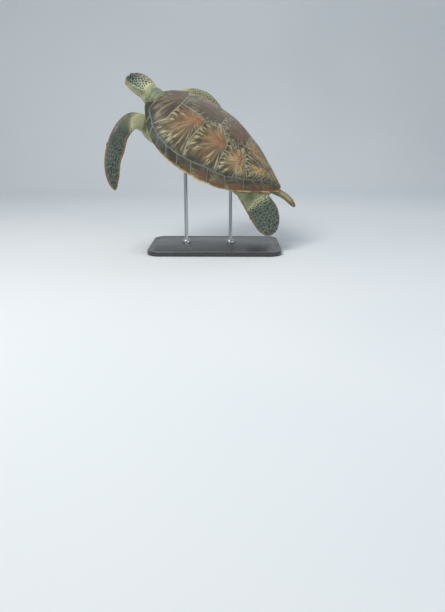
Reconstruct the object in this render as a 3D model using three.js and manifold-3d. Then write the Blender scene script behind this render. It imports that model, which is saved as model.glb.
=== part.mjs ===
// A life-size display model of a green sea turtle (Chelonia mydas), climbing and banking to its left,
// on a flat base with two short rods. Millimetres, +Z up, origin under the middle of the base.
//
// The animal is built in its own frame, +X towards the head, +Y to its left, +Z out of its back, with
// the origin at the middle of the shell at the height of its rim. Lengths there are fractions of the
// straight shell length. One group then sets that frame in its swimming attitude over the base.

import * as THREE from 'three';
import { mergeVertices } from 'three/addons/utils/BufferGeometryUtils.js';
import Module from 'manifold-3d';

const wasm = await Module();
wasm.setup();

// ---------- driving dimensions ----------

const SHELL_LENGTH = 700;
const CLIMB_DEG = 33.6;
const BANK_DEG = 26.3;
const HEADING_DEG = 180;
const SHELL_CENTRE_HEIGHT = 460;

const GAP = 0.4; // clearance between neighbouring pieces
const SEAM_WIDTH = 0.6; // width of the cut between two shell plates
const SHELL_THICKNESS = 0.013; // horn and bone together, as a fraction of the shell length
const RIM_THICKNESS = 0.008;

const HEAD_LENGTH = 0.21;
const HEAD_TURN_DEG = { yaw: -20, pitch: 10.5, roll: 24 }; // kept level while the body banks
const EYE_RADIUS = 0.019;

const BASE = { length: 600, width: 400, height: 20, corner: 60, bevel: 3 };
const ROD_RADIUS = 8;
const COLLAR = { radius: 22, height: 12 };
const PAD = { radius: 32, thickness: 16 }; // about half of the pad's thickness is hollowed to the belly
const ROD_STATIONS = { front: 0.15, rear: -0.2 }; // along the belly, in shell lengths

const WELD = 1e-4; // points closer than this are one point

// ---------- small tools ----------

/** A point given in fractions of the shell length. */
const at = (x, y, z) => new THREE.Vector3(x, y, z).multiplyScalar(SHELL_LENGTH);

/** A smooth curve through [x, y] pairs that never overshoots them (monotone cubic). */
function profile(...pairs) {
  const xs = pairs.map((p) => p[0]);
  const ys = pairs.map((p) => p[1]);
  const steps = xs.slice(1).map((x, i) => x - xs[i]);
  const slopes = steps.map((h, i) => (ys[i + 1] - ys[i]) / h);
  const tangents = xs.map((_, i) => {
    if (i === 0) return slopes[0];
    if (i === slopes.length) return slopes[i - 1];
    if (slopes[i - 1] * slopes[i] <= 0) return 0;
    const w1 = 2 * steps[i] + steps[i - 1];
    const w2 = steps[i] + 2 * steps[i - 1];
    return (w1 + w2) / (w1 / slopes[i - 1] + w2 / slopes[i]);
  });
  return (x) => {
    const i = Math.max(0, Math.min(slopes.length - 1, xs.findLastIndex((v) => v <= x)));
    const t = THREE.MathUtils.clamp((x - xs[i]) / steps[i], 0, 1);
    const rise = ys[i + 1] - ys[i];
    const a = tangents[i] * steps[i] - rise;
    const b = rise - tangents[i + 1] * steps[i];
    return ys[i] + t * rise + t * (1 - t) * (a * (1 - t) + b * t);
  };
}

/** A closed solid from a three.js geometry whose every point is first moved by shape(point). */
function solidFrom(geometry, shape = (point) => point) {
  const source = geometry.getAttribute('position');
  const moved = new Float32Array(source.count * 3);
  const point = new THREE.Vector3();
  for (let i = 0; i < source.count; i++) {
    shape(point.fromBufferAttribute(source, i)).toArray(moved, i * 3);
  }
  const bare = new THREE.BufferGeometry();
  bare.setAttribute('position', new THREE.BufferAttribute(moved, 3));
  if (geometry.index) bare.setIndex(geometry.index);
  const welded = mergeVertices(bare, WELD);
  const vertProperties = welded.attributes.position.array;
  const triVerts = new Uint32Array(welded.index.array);
  const make = () => new wasm.Manifold(new wasm.Mesh({ numProp: 3, vertProperties, triVerts }));
  const solid = make();
  if (solid.volume() > 0) return solid;
  for (let i = 0; i < triVerts.length; i += 3) {
    [triVerts[i + 1], triVerts[i + 2]] = [triVerts[i + 2], triVerts[i + 1]];
  }
  return make();
}

/** A closed skin of rings. section(along, angle) gives the point, with along 0 to 1 end to end. */
function loft(rings, around, section) {
  return solidFrom(new THREE.SphereGeometry(1, around, rings), (p) => {
    const along = Math.acos(THREE.MathUtils.clamp(p.y, -1, 1)) / Math.PI;
    return section(along, Math.atan2(p.z, p.x));
  });
}

/** A plate over a grid. place(u, v, side) gives the point, u 0 to 1, v -1 to 1, side -1 in or 1 out. */
function plate(rows, columns, place) {
  const block = new THREE.BoxGeometry(1, 2, 2, rows, columns, 1);
  return solidFrom(block, (p) => place(p.x + 0.5, p.y, Math.sign(p.z)));
}

/** Signed power: keeps the sign of a cosine or sine while rounding or squaring a section. */
const bend = (value, power) => Math.sign(value) * Math.abs(value) ** power;

const join = (...solids) => wasm.Manifold.union(solids);
const largest = (solid) => solid.decompose().sort((a, b) => b.volume() - a.volume())[0];
const mirrored = (point) => point.clone().setY(-point.y);

// ---------- shell surface ----------

// Stations run from 0 at the front edge to 1 at the tip of the tail end.
const shellHalfWidth = profile(
  [0, 0.075], [0.015, 0.122], [0.05, 0.19], [0.1, 0.273], [0.2, 0.367], [0.3, 0.405], [0.4, 0.415],
  [0.5, 0.402], [0.6, 0.37], [0.7, 0.318], [0.8, 0.24], [0.88, 0.158], [0.94, 0.097], [0.98, 0.05],
  [1, 0.03],
);
const shellDome = profile(
  [0, 0.022], [0.1, 0.109], [0.2, 0.164], [0.35, 0.203], [0.5, 0.203], [0.7, 0.157], [0.85, 0.09],
  [1, 0.012],
);
const shellRim = profile(
  [0, 0.03], [0.15, 0], [0.35, -0.02], [0.6, -0.02], [0.8, -0.006], [0.9, 0.004], [1, 0.012],
);
const rimPlateShare = profile(
  [0, 0.8], [0.06, 0.83], [0.12, 0.888], [0.24, 0.9], [0.33, 0.89], [0.42, 0.872], [0.55, 0.85],
  [0.65, 0.842], [0.735, 0.8], [0.83, 0.705], [0.88, 0.6], [0.94, 0.5], [1, 0.45],
);

const SHELL_GRID = { rows: 14, columns: 10 };
const SCALLOP = 0.006; // how far the hind rim plates stand out between their seams
const FIRST_SCALLOPED_SEAM = 7;
const NAPE = { notch: 0.012, sharpness: 14 }; // the shallow curve over the neck

// Seams between the rim plates, front to back; the first piece on the midline is the neck plate.
const RIM_SEAMS = [0.03, 0.08, 0.14, 0.21, 0.29, 0.375, 0.47, 0.575, 0.685, 0.795, 0.895, 0.963];
const NECK_PLATE = { depth: 0.045, halfWidth: 0.085, frontHalfWidth: 0.068 };
const BEYOND = 0.1; // seams that end at the shell's edge run on this far past it
const rimSeamLean = profile([0, 0], [0.08, 0.006], [0.3, 0.032], [0.47, 0.042], [1, 0.04]);

/** The hind rim is gently scalloped: 0 at each rim seam, 1 between two. */
function scallop(s) {
  const next = RIM_SEAMS.findIndex((seam) => seam > s);
  if (next < FIRST_SCALLOPED_SEAM) return 0;
  return Math.sin((Math.PI * (s - RIM_SEAMS[next - 1])) / (RIM_SEAMS[next] - RIM_SEAMS[next - 1]));
}

/** A point of the shell's outer surface: s from the front, t across, -1 right rim to 1 left rim. */
function shellPoint(s, t, outwards = 0, spread = 0) {
  const half = shellHalfWidth(s) + spread + SCALLOP * scallop(s) * t * t;
  const dome = shellDome(s) * (1 - Math.abs(t) ** 2.5) ** 1.15;
  const nape = -NAPE.notch * (1 - t * t) * (1 - s) ** NAPE.sharpness;
  return at(0.5 - s + nape, half * t, shellRim(s) + dome + outwards);
}

const shellThickness = (t) => THREE.MathUtils.lerp(SHELL_THICKNESS, RIM_THICKNESS, t ** 4);

/** Columns of the shell's grid crowd towards the rim: v even steps from -1 to 1, t across the shell. */
const columnShare = (v) => (Math.sin((v * Math.PI) / 2) + v) / 2;

/** The whole upper shell as one plate. grow swells it on every side, for cutting clearances. */
function shellBlank(grow) {
  const swell = grow / SHELL_LENGTH;
  return plate(SHELL_GRID.rows, SHELL_GRID.columns, (u, v, side) => {
    const s = u - swell * Math.cos(Math.PI * u);
    const t = columnShare(v);
    return shellPoint(s, t, side > 0 ? swell : -shellThickness(t) - 2 * swell, swell);
  });
}

// ---------- shell plates ----------

// Half of the plates along the back, as [station, offset from the midline], front to back. The corner
// that sticks out sideways is where the seam between two side plates starts.
const BACK_SEAM = [
  [0.195, 0.066], [0.376, 0.117], [0.462, 0.052], [0.558, 0.172], [0.655, 0.08], [0.685, 0.1],
  [0.875, 0.036],
];
const BACK_CROSS_SEAMS = [0, 2, 4, 6]; // corners of BACK_SEAM joined across the midline
// Seams between the side plates: corner of BACK_SEAM, bend, and the station where it meets the rim plates.
const SIDE_SEAMS = [
  { corner: 0, bend: [0.172, 0.215], end: 0.118 },
  { corner: 1, bend: [0.35, 0.295], end: 0.376 },
  { corner: 3, bend: [0.562, 0.255], end: 0.584 },
  { corner: 5, bend: [0.709, 0.157], end: 0.77 },
  { corner: 6, bend: [0.863, 0.08], end: 0.845 },
];

/** A point on the line between rim plates and inner plates, in the plan. */
const rimLine = (s) => [s, rimPlateShare(s) * shellHalfWidth(s)];

/** A thin upright wall along a seam, from one plan point to another. */
function seamWall([s0, v0], [s1, v1]) {
  const from = at(0.5 - s0, v0, 0);
  const to = at(0.5 - s1, v1, 0);
  const run = to.clone().sub(from);
  const wall = new THREE.BoxGeometry(run.length() + SEAM_WIDTH, SEAM_WIDTH, SHELL_LENGTH);
  wall.rotateZ(Math.atan2(run.y, run.x));
  const middle = from.add(to).multiplyScalar(0.5);
  return solidFrom(wall.translate(middle.x, middle.y, 0));
}

/** All the seams of one side (1 left, -1 right) as walls. */
function seamWalls(side) {
  const across = ([s, v]) => [s, v * side];
  const line = (points) => points.slice(1).map((p, i) => seamWall(across(points[i]), across(p)));
  const rimSeams = RIM_SEAMS.slice(1).map((s) => ({ inner: s - rimSeamLean(s), outer: s }));
  const ends = [NECK_PLATE.depth, RIM_SEAMS.at(-1), ...SIDE_SEAMS.map((seam) => seam.end)];
  const rim = [...ends, ...rimSeams.map((seam) => seam.inner)].sort((a, b) => a - b).map(rimLine);
  const sideSeams = SIDE_SEAMS.flatMap(({ corner, bend, end }) => (
    line([BACK_SEAM[corner], bend, rimLine(end)])
  ));
  const tailCorner = [RIM_SEAMS.at(-1), 0];
  const neckCorner = [NECK_PLATE.depth, NECK_PLATE.halfWidth];
  const rimPieces = rimSeams.flatMap(({ inner, outer }) => {
    const start = rimLine(inner);
    const beyond = [2 * outer - start[0], 2 * shellHalfWidth(outer) - start[1]];
    return line([start, beyond]);
  });
  return [
    ...line(BACK_SEAM),
    ...sideSeams,
    ...line([[NECK_PLATE.depth, 0], neckCorner, rim[0]]),
    ...line([neckCorner, [-BEYOND, NECK_PLATE.frontHalfWidth]]),
    ...line(rim),
    ...line([tailCorner, rim.at(-1)]),
    ...rimPieces,
    ...line([tailCorner, [1 + BEYOND, 0]]),
    ...BACK_CROSS_SEAMS.flatMap((i) => line([[BACK_SEAM[i][0], 0], BACK_SEAM[i]])),
  ];
}

/** Every plate's name and a plan point inside it, for naming the pieces of the cut shell. */
function plateLabels() {
  const labels = [{ name: 'nuchal_plate', plan: [0.02, 0] }];
  [0.13, 0.34, 0.56, 0.75, 0.92].forEach((s, i) => {
    labels.push({ name: `back_plate_${i + 1}`, plan: [s, 0] });
  });
  const sides = [[0.27, 0.22], [0.47, 0.23], [0.65, 0.21], [0.8, 0.13]];
  const rimEnds = [...RIM_SEAMS, 1];
  for (const [side, sign] of [['left', 1], ['right', -1]]) {
    sides.forEach(([s, v], i) => {
      labels.push({ name: `side_plate_${side}_${i + 1}`, plan: [s, v * sign] });
    });
    rimEnds.slice(1).forEach((end, i) => {
      const s = (rimEnds[i] + end - rimSeamLean(end)) / 2;
      const v = (shellHalfWidth(s) * (1 + rimPlateShare(s))) / 2;
      const number = String(i + 1).padStart(2, '0');
      labels.push({ name: `rim_plate_${side}_${number}`, plan: [s, v * sign] });
    });
  }
  return labels;
}

/** The upper shell cut into its plates, each with its name. */
function shellPlates() {
  const walls = join(...seamWalls(1), ...seamWalls(-1));
  const pieces = shellBlank(0).subtract(walls).decompose().filter((p) => p.volume() > 100);
  const centres = pieces.map((piece) => {
    const { min, max } = piece.boundingBox();
    return [(min[0] + max[0]) / 2, (min[1] + max[1]) / 2].map((c) => c / SHELL_LENGTH);
  });
  return plateLabels().map(({ name, plan: [s, v] }) => {
    const reach = centres.map(([x, y]) => Math.hypot(x - (0.5 - s), y - v));
    return { name, solid: pieces[reach.indexOf(Math.min(...reach))] };
  });
}

// ---------- trunk and belly plate ----------

// The body fills the shell but for its outermost columns and first and last rows.
const TRUNK = {
  share: columnShare(1 - 2 / SHELL_GRID.columns),
  front: 1 / SHELL_GRID.rows,
  rear: 1 - 1 / SHELL_GRID.rows,
  side: 0.012,
  clearance: 0.003,
};
const bellyDepth = profile(
  [0, 0.02], [0.06, 0.075], [0.15, 0.118], [0.3, 0.142], [0.5, 0.146], [0.7, 0.126], [0.85, 0.085],
  [0.95, 0.04], [1, 0.01],
);

/** A point of the belly: s from the front, t across the body. */
function bellyPoint(s, t, outwards = 0, spread = 0) {
  const edge = shellPoint(s, TRUNK.share, -shellThickness(TRUNK.share)).z;
  const drop = TRUNK.side + bellyDepth(s) * (1 - Math.abs(t) ** 3) ** 0.75 + outwards;
  return shellPoint(s, TRUNK.share * t, 0, spread).setZ(edge - drop * SHELL_LENGTH);
}

/** The soft body between the shells, with the shoulders and hips. */
function trunk(grow) {
  const swell = grow / SHELL_LENGTH;
  const middle = plate(SHELL_GRID.rows - 2, SHELL_GRID.columns - 2, (u, v, side) => {
    const s = THREE.MathUtils.lerp(TRUNK.front, TRUNK.rear, u) - swell * Math.cos(Math.PI * u);
    const share = columnShare(v * (1 - 2 / SHELL_GRID.columns));
    if (side < 0) return bellyPoint(s, share / TRUNK.share, swell, 2 * swell);
    return shellPoint(s, share, swell - shellThickness(share) - TRUNK.clearance, 2 * swell);
  });
  const lump = (centre, radii, turn) => {
    const ball = new THREE.SphereGeometry(1, 12, 6);
    ball.scale(...radii.map((r) => r * SHELL_LENGTH + grow)).rotateZ(turn);
    return solidFrom(ball.translate(...centre.toArray()));
  };
  const parts = [middle];
  for (const sign of [1, -1]) {
    parts.push(lump(at(0.34, 0.155 * sign, -0.055), [0.115, 0.105, 0.06], 0.3 * sign));
    parts.push(lump(at(-0.29, 0.14 * sign, -0.05), [0.11, 0.09, 0.045], 0.5 * sign));
  }
  parts.push(lump(at(0.355, 0, -0.04), [0.09, 0.14, 0.062], 0));
  return join(...parts);
}

const bellyPlateHalfWidth = profile(
  [0, 0.3], [0.08, 0.52], [0.25, 0.66], [0.4, 0.86], [0.62, 0.88], [0.78, 0.66], [0.92, 0.5], [1, 0.28],
);
const BELLY_PLATE = { front: 0.13, rear: 0.9, proud: 0.004, depth: 0.011 };

/** The lower shell: one plate inlaid in the belly, reaching out to the rim at the bridges. */
function bellyPlate(grow) {
  const swell = grow / SHELL_LENGTH;
  return plate(10, 6, (u, v, side) => {
    const s = THREE.MathUtils.lerp(BELLY_PLATE.front - swell, BELLY_PLATE.rear + swell, u);
    const t = v * (bellyPlateHalfWidth(u) + swell * 4);
    const out = side > 0 ? BELLY_PLATE.proud + swell : BELLY_PLATE.proud - BELLY_PLATE.depth - swell;
    return bellyPoint(s, t, out);
  });
}

// ---------- neck and head ----------

const NECK = new THREE.CatmullRomCurve3([
  at(0.33, 0, -0.03), at(0.431, -0.003, 0.023), at(0.541, -0.01, 0.049),
]);
const neckHalfWidth = profile([0, 0], [0.06, 0.09], [0.35, 0.1], [0.7, 0.078], [0.94, 0.068], [1, 0]);
const neckHalfHeight = profile([0, 0], [0.06, 0.07], [0.35, 0.078], [0.7, 0.064], [0.94, 0.052], [1, 0]);

/** The neck, an oval tube along its own curve, thicker at the shoulders. */
function neck(grow) {
  return loft(6, 14, (along, angle) => {
    const axis = NECK.getTangent(along);
    const left = new THREE.Vector3(0, 0, 1).cross(axis).normalize();
    const up = axis.clone().cross(left);
    const wide = along % 1 ? neckHalfWidth(along) * SHELL_LENGTH + grow : 0;
    const high = along % 1 ? neckHalfHeight(along) * SHELL_LENGTH + grow : 0;
    return NECK.getPoint(along)
      .addScaledVector(left, wide * Math.cos(angle))
      .addScaledVector(up, high * Math.sin(angle));
  });
}

// The head in its own frame, in head lengths: 0 where the skull meets the neck, HEAD_TIP at the snout.
const HEAD_BACK = -0.16;
const HEAD_TIP = 0.955;
const headHalfWidth = profile(
  [HEAD_BACK, 0], [-0.1, 0.2], [0.05, 0.3], [0.2, 0.345], [0.38, 0.35], [0.55, 0.31], [0.7, 0.245],
  [0.81, 0.175], [0.885, 0.125], [0.93, 0.085], [0.948, 0.045], [HEAD_TIP, 0],
);
const headTop = profile(
  [HEAD_BACK, 0.02], [-0.1, 0.16], [0.05, 0.27], [0.25, 0.335], [0.45, 0.345], [0.62, 0.315],
  [0.745, 0.25], [0.84, 0.175], [0.9, 0.1], [0.937, 0.035], [HEAD_TIP, -0.03],
);
const headBottom = profile(
  [HEAD_BACK, 0], [-0.1, -0.17], [0.05, -0.25], [0.3, -0.285], [0.5, -0.275], [0.7, -0.25],
  [0.825, -0.22], [0.895, -0.185], [0.937, -0.12], [HEAD_TIP, -0.03],
);
const HEAD = new THREE.Matrix4().compose(
  at(0.503, 0, 0.054),
  new THREE.Quaternion().setFromEuler(new THREE.Euler(
    THREE.MathUtils.degToRad(HEAD_TURN_DEG.roll),
    THREE.MathUtils.degToRad(HEAD_TURN_DEG.pitch),
    THREE.MathUtils.degToRad(HEAD_TURN_DEG.yaw),
    'ZYX',
  )),
  new THREE.Vector3().setScalar(HEAD_LENGTH * SHELL_LENGTH),
);
const EYE = { along: 0.715, side: 0.155, height: 0.1 };

/** The skull and jaws as one closed form, in the body's frame. */
function headBlank(grow) {
  const swell = grow / (HEAD_LENGTH * SHELL_LENGTH);
  return loft(14, 16, (along, angle) => {
    const share = Math.sin((along * Math.PI) / 2) ** 0.9;
    const x = THREE.MathUtils.lerp(HEAD_BACK - swell, HEAD_TIP + swell, share);
    const lift = Math.sin(angle);
    if (along === 0 || along === 1) {
      return new THREE.Vector3(x, 0, (headTop(x) + headBottom(x)) / 2).applyMatrix4(HEAD);
    }
    const wide = (headHalfWidth(x) + swell) * (1 - (lift > 0 ? 0.16 : 0.1) * lift ** 2);
    const high = lift > 0 ? headTop(x) + swell : swell - headBottom(x);
    return new THREE.Vector3(x, wide * bend(Math.cos(angle), 0.8), high * bend(lift, 0.85))
      .applyMatrix4(HEAD);
  });
}

/** A ball in the head's frame, for an eye or its socket. */
function eyeball(sign, grow) {
  const centre = new THREE.Vector3(EYE.along, EYE.side * sign, EYE.height).applyMatrix4(HEAD);
  const ball = new THREE.SphereGeometry(EYE_RADIUS * SHELL_LENGTH + grow, 10, 6);
  return solidFrom(ball.translate(...centre.toArray()));
}

/** Thin walls across the whole head along a line of [along, height] points in the head's frame. */
function headCut(...points) {
  const size = HEAD_LENGTH * SHELL_LENGTH;
  return join(...points.slice(1).map(([x1, z1], i) => {
    const [x0, z0] = points[i];
    const run = Math.hypot(x1 - x0, z1 - z0);
    const wall = new THREE.BoxGeometry(run + SEAM_WIDTH / size, 1, SEAM_WIDTH / size);
    wall.rotateY(-Math.atan2(z1 - z0, x1 - x0));
    return solidFrom(wall.translate((x0 + x1) / 2, 0, (z0 + z1) / 2).applyMatrix4(HEAD));
  }));
}

/** The head parted into skull, lower jaw and the two horny beaks, with sockets for the eyes. */
function headPieces() {
  const mouth = [[1.1, -0.1], [0.86, -0.1], [0.72, -0.125], [0.6, -0.15], [0.45, -0.135], [0.34, -0.4]];
  const upperBeak = [[1.1, 0.045], [0.885, 0.045], [0.81, -0.02], [0.6, -0.15]];
  const lowerBeak = [[0.6, -0.15], [0.775, -0.19], [0.86, -0.24], [0.88, -0.4]];
  const walls = join(headCut(...mouth), headCut(...upperBeak), headCut(...lowerBeak));
  const pieces = headBlank(0).subtract(walls).decompose().sort((a, b) => b.volume() - a.volume());
  const height = (piece) => {
    const { min, max } = piece.boundingBox();
    return (min[2] + max[2]) / 2;
  };
  const [skull, jaw, ...beaks] = pieces.slice(0, 4);
  beaks.sort((a, b) => height(b) - height(a));
  return {
    head: skull.subtract(join(eyeball(1, GAP), eyeball(-1, GAP))),
    jaw_lower: jaw,
    beak_upper: beaks[0],
    beak_lower: beaks[1],
  };
}

// ---------- flippers and tail ----------

/**
 * A flat limb along a spine. lead and trail give how far its two edges stand from the spine, thick its
 * half thickness, all along the spine; rootChord and tipChord point towards the leading edge.
 */
function flipper({ spine, rootChord, tipChord, lead, trail, thick, camber }, grow, sign) {
  const flip = (p) => (sign > 0 ? p : mirrored(p));
  const curve = new THREE.CatmullRomCurve3(spine.map(flip));
  const chords = [rootChord, tipChord].map((c) => flip(c.clone().normalize()));
  return loft(13, 10, (along, angle) => {
    const a = Math.sin((along * Math.PI) / 2) ** 0.85;
    const axis = curve.getTangent(a);
    const chord = chords[0].clone().lerp(chords[1], THREE.MathUtils.smoothstep(a, 0.05, 0.5));
    chord.addScaledVector(axis, -chord.dot(axis)).normalize();
    const normal = chord.clone().cross(axis).multiplyScalar(sign);
    const closed = along === 0 || along === 1;
    const across = Math.cos(angle);
    const edge = (across > 0 ? lead(a) : trail(a)) * SHELL_LENGTH + grow;
    const body = (thick(a) * SHELL_LENGTH + grow) * (1 + 0.45 * across);
    const arch = camber * SHELL_LENGTH * (1 - across * across) * a;
    return curve.getPoint(a)
      .addScaledVector(chord, closed ? 0 : edge * bend(across, 0.9))
      .addScaledVector(normal, closed ? 0 : body * bend(Math.sin(angle), 0.8) + arch);
  });
}

const FRONT_PLAN = {
  lead: profile(
    [0, 0.05], [0.15, 0.055], [0.3, 0.041], [0.45, 0.043], [0.6, 0.05], [0.75, 0.045], [0.9, 0.027],
    [0.97, 0.013], [1, 0],
  ),
  trail: profile(
    [0, 0.055], [0.15, 0.068], [0.3, 0.059], [0.45, 0.059], [0.6, 0.06], [0.68, 0.051], [0.8, 0.044],
    [0.92, 0.026], [0.98, 0.012], [1, 0],
  ),
  thick: profile([0, 0.04], [0.2, 0.038], [0.4, 0.026], [0.6, 0.017], [0.8, 0.0105], [1, 0.004]),
  camber: 0.004,
};
const HIND_PLAN = {
  lead: profile(
    [0, 0.05], [0.25, 0.074], [0.5, 0.088], [0.7, 0.09], [0.85, 0.08], [0.94, 0.056], [0.985, 0.03],
    [1, 0],
  ),
  trail: profile(
    [0, 0.05], [0.25, 0.086], [0.45, 0.108], [0.65, 0.11], [0.8, 0.095], [0.92, 0.064], [0.98, 0.034],
    [1, 0],
  ),
  thick: profile([0, 0.038], [0.25, 0.034], [0.5, 0.018], [0.75, 0.0095], [1, 0.0045]),
  camber: -0.006,
};

// Each limb in its swimming pose: the left one pulls down, the right one is swept back.
const FLIPPERS = {
  flipper_front_left: {
    sign: 1,
    plan: FRONT_PLAN,
    spine: [
      at(0.31, 0.12, -0.05), at(0.425, 0.19, -0.04), at(0.497, 0.305, -0.012), at(0.506, 0.395, -0.062),
      at(0.484, 0.452, -0.118), at(0.445, 0.522, -0.18), at(0.39, 0.583, -0.232), at(0.345, 0.62, -0.261),
    ],
    rootChord: new THREE.Vector3(0.62, -0.55, 0.3),
    tipChord: new THREE.Vector3(1, -0.05, -0.12),
  },
  flipper_front_right: {
    sign: -1,
    plan: FRONT_PLAN,
    spine: [
      at(0.3, 0.12, -0.05), at(0.375, 0.24, -0.04), at(0.355, 0.345, -0.012), at(0.3, 0.41, 0.012),
      at(0.225, 0.455, 0.012), at(0.14, 0.495, -0.018), at(0.05, 0.53, -0.07), at(-0.025, 0.555, -0.12),
    ],
    rootChord: new THREE.Vector3(0.62, 0.1, 0.3),
    tipChord: new THREE.Vector3(0.3, 0.85, 0.4),
  },
  flipper_hind_left: {
    sign: 1,
    plan: HIND_PLAN,
    spine: [
      at(-0.25, 0.1, -0.055), at(-0.336, 0.151, -0.058), at(-0.422, 0.1865, -0.068),
      at(-0.508, 0.222, -0.094), at(-0.602, 0.272, -0.143),
    ],
    rootChord: new THREE.Vector3(0.6, 0.7, -0.2),
    tipChord: new THREE.Vector3(0.78, 0.46, -0.36),
  },
  flipper_hind_right: {
    sign: -1,
    plan: HIND_PLAN,
    spine: [
      at(-0.25, 0.1, -0.055), at(-0.32, 0.16, -0.085), at(-0.37, 0.21, -0.14), at(-0.42, 0.26, -0.21),
      at(-0.475, 0.31, -0.285),
    ],
    rootChord: new THREE.Vector3(0.6, 0.7, -0.1),
    tipChord: new THREE.Vector3(0.8, 0.1, -0.6),
  },
};

const limb = ({ plan, spine, rootChord, tipChord, sign }, grow) =>
  flipper({ ...plan, spine, rootChord, tipChord }, grow, sign);

const TAIL = new THREE.CatmullRomCurve3([
  at(-0.36, 0, -0.04), at(-0.47, 0, -0.019), at(-0.565, 0, -0.01), at(-0.655, 0, -0.033),
]);
const tailRadius = profile(
  [0, 0.042], [0.4, 0.028], [0.6, 0.026], [0.8, 0.023], [0.93, 0.016], [0.985, 0.009], [1, 0],
);

/** The tail, a tapering cone behind the shell. */
function tail(grow) {
  return loft(7, 8, (along, angle) => {
    const closed = along === 0 || along === 1;
    const radius = closed ? 0 : tailRadius(along) * SHELL_LENGTH + grow;
    return TAIL.getPoint(along).add(new THREE.Vector3(
      0, radius * Math.cos(angle), 0.85 * radius * Math.sin(angle),
    ));
  });
}

// Size, heading, how far it stands out of the skin, and its share of a front and a hind limb's spine.
const CLAW = { length: 15, radius: 4.5, along: 0.8, outwards: 0.6, proud: 0.3, front: 0.56, hind: 0.62 };

/** A claw on the leading edge of a limb, at a share of its spine, pointing along the limb. */
function claw({ plan, spine, tipChord, sign }, share) {
  const flip = (p) => (sign > 0 ? p.clone() : mirrored(p));
  const curve = new THREE.CatmullRomCurve3(spine.map(flip));
  const axis = curve.getTangent(share);
  const chord = flip(tipChord.clone().normalize());
  chord.addScaledVector(axis, -chord.dot(axis)).normalize();
  const root = curve.getPoint(share).addScaledVector(chord, plan.lead(share) * SHELL_LENGTH);
  const aim = axis.clone().multiplyScalar(CLAW.along).addScaledVector(chord, CLAW.outwards).normalize();
  const cone = new THREE.ConeGeometry(CLAW.radius, CLAW.length, 8, 1);
  cone.applyQuaternion(new THREE.Quaternion().setFromUnitVectors(new THREE.Vector3(0, 1, 0), aim));
  return solidFrom(cone.translate(...root.addScaledVector(aim, CLAW.length * CLAW.proud).toArray()));
}

// ---------- materials ----------

const MATERIALS = {
  shell: new THREE.MeshStandardMaterial({ color: 0x6b5236, roughness: 0.45 }),
  rim: new THREE.MeshStandardMaterial({ color: 0x7a5238, roughness: 0.5 }),
  belly: new THREE.MeshStandardMaterial({ color: 0xd8cf9a, roughness: 0.5 }),
  skin: new THREE.MeshStandardMaterial({ color: 0x56604f, roughness: 0.6 }),
  beak: new THREE.MeshStandardMaterial({ color: 0x8a8a62, roughness: 0.4 }),
  eye: new THREE.MeshStandardMaterial({ color: 0x14100c, roughness: 0.1 }),
  claw: new THREE.MeshStandardMaterial({ color: 0x4a4030, roughness: 0.4 }),
  base: new THREE.MeshStandardMaterial({ color: 0x3c3f42, roughness: 0.5 }),
  rod: new THREE.MeshStandardMaterial({ color: 0xb9bcc0, roughness: 0.3, metalness: 1 }),
};

/** A named mesh from a finished solid. */
function piece(name, solid, material) {
  const mesh = solid.getMesh();
  const geometry = new THREE.BufferGeometry();
  geometry.setAttribute('position', new THREE.BufferAttribute(new Float32Array(mesh.vertProperties), 3));
  geometry.setIndex(new THREE.BufferAttribute(new Uint32Array(mesh.triVerts), 1));
  geometry.computeVertexNormals();
  const made = new THREE.Mesh(geometry, MATERIALS[material]);
  made.name = name;
  return made;
}

// ---------- the animal ----------

const turtle = new THREE.Group();
turtle.rotation.set(
  THREE.MathUtils.degToRad(-BANK_DEG),
  THREE.MathUtils.degToRad(-CLIMB_DEG),
  THREE.MathUtils.degToRad(HEADING_DEG),
  'ZYX',
);
turtle.position.set(0, 0, SHELL_CENTRE_HEIGHT);

for (const { name, solid } of shellPlates()) {
  turtle.add(piece(name, solid, name.startsWith('rim') ? 'rim' : 'shell'));
}

const armour = join(shellBlank(GAP), bellyPlate(GAP));
const torso = trunk(GAP);
const skullRoom = headBlank(GAP);
turtle.add(piece('plastron', bellyPlate(0).subtract(shellBlank(GAP)), 'belly'));
turtle.add(piece('trunk', largest(trunk(0).subtract(armour)), 'skin'));
turtle.add(piece('neck', largest(neck(0).subtract(join(armour, torso, skullRoom))), 'skin'));

for (const [name, solid] of Object.entries(headPieces())) {
  turtle.add(piece(name, largest(solid.subtract(armour)), name.startsWith('beak') ? 'beak' : 'skin'));
}
turtle.add(piece('eye_left', eyeball(1, 0), 'eye'));
turtle.add(piece('eye_right', eyeball(-1, 0), 'eye'));

const collar = join(armour, torso, neck(GAP), skullRoom);
for (const [name, shape] of Object.entries(FLIPPERS)) {
  turtle.add(piece(name, largest(limb(shape, 0).subtract(collar)), 'skin'));
  const share = name.includes('front') ? CLAW.front : CLAW.hind;
  const nail = largest(claw(shape, share).subtract(limb(shape, GAP)));
  turtle.add(piece(name.replace('flipper', 'claw'), nail, 'claw'));
}
const hips = join(collar, ...Object.values(FLIPPERS).map((shape) => limb(shape, GAP)));
turtle.add(piece('tail', largest(tail(0).subtract(hips)), 'skin'));

// ---------- the stand ----------

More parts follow.
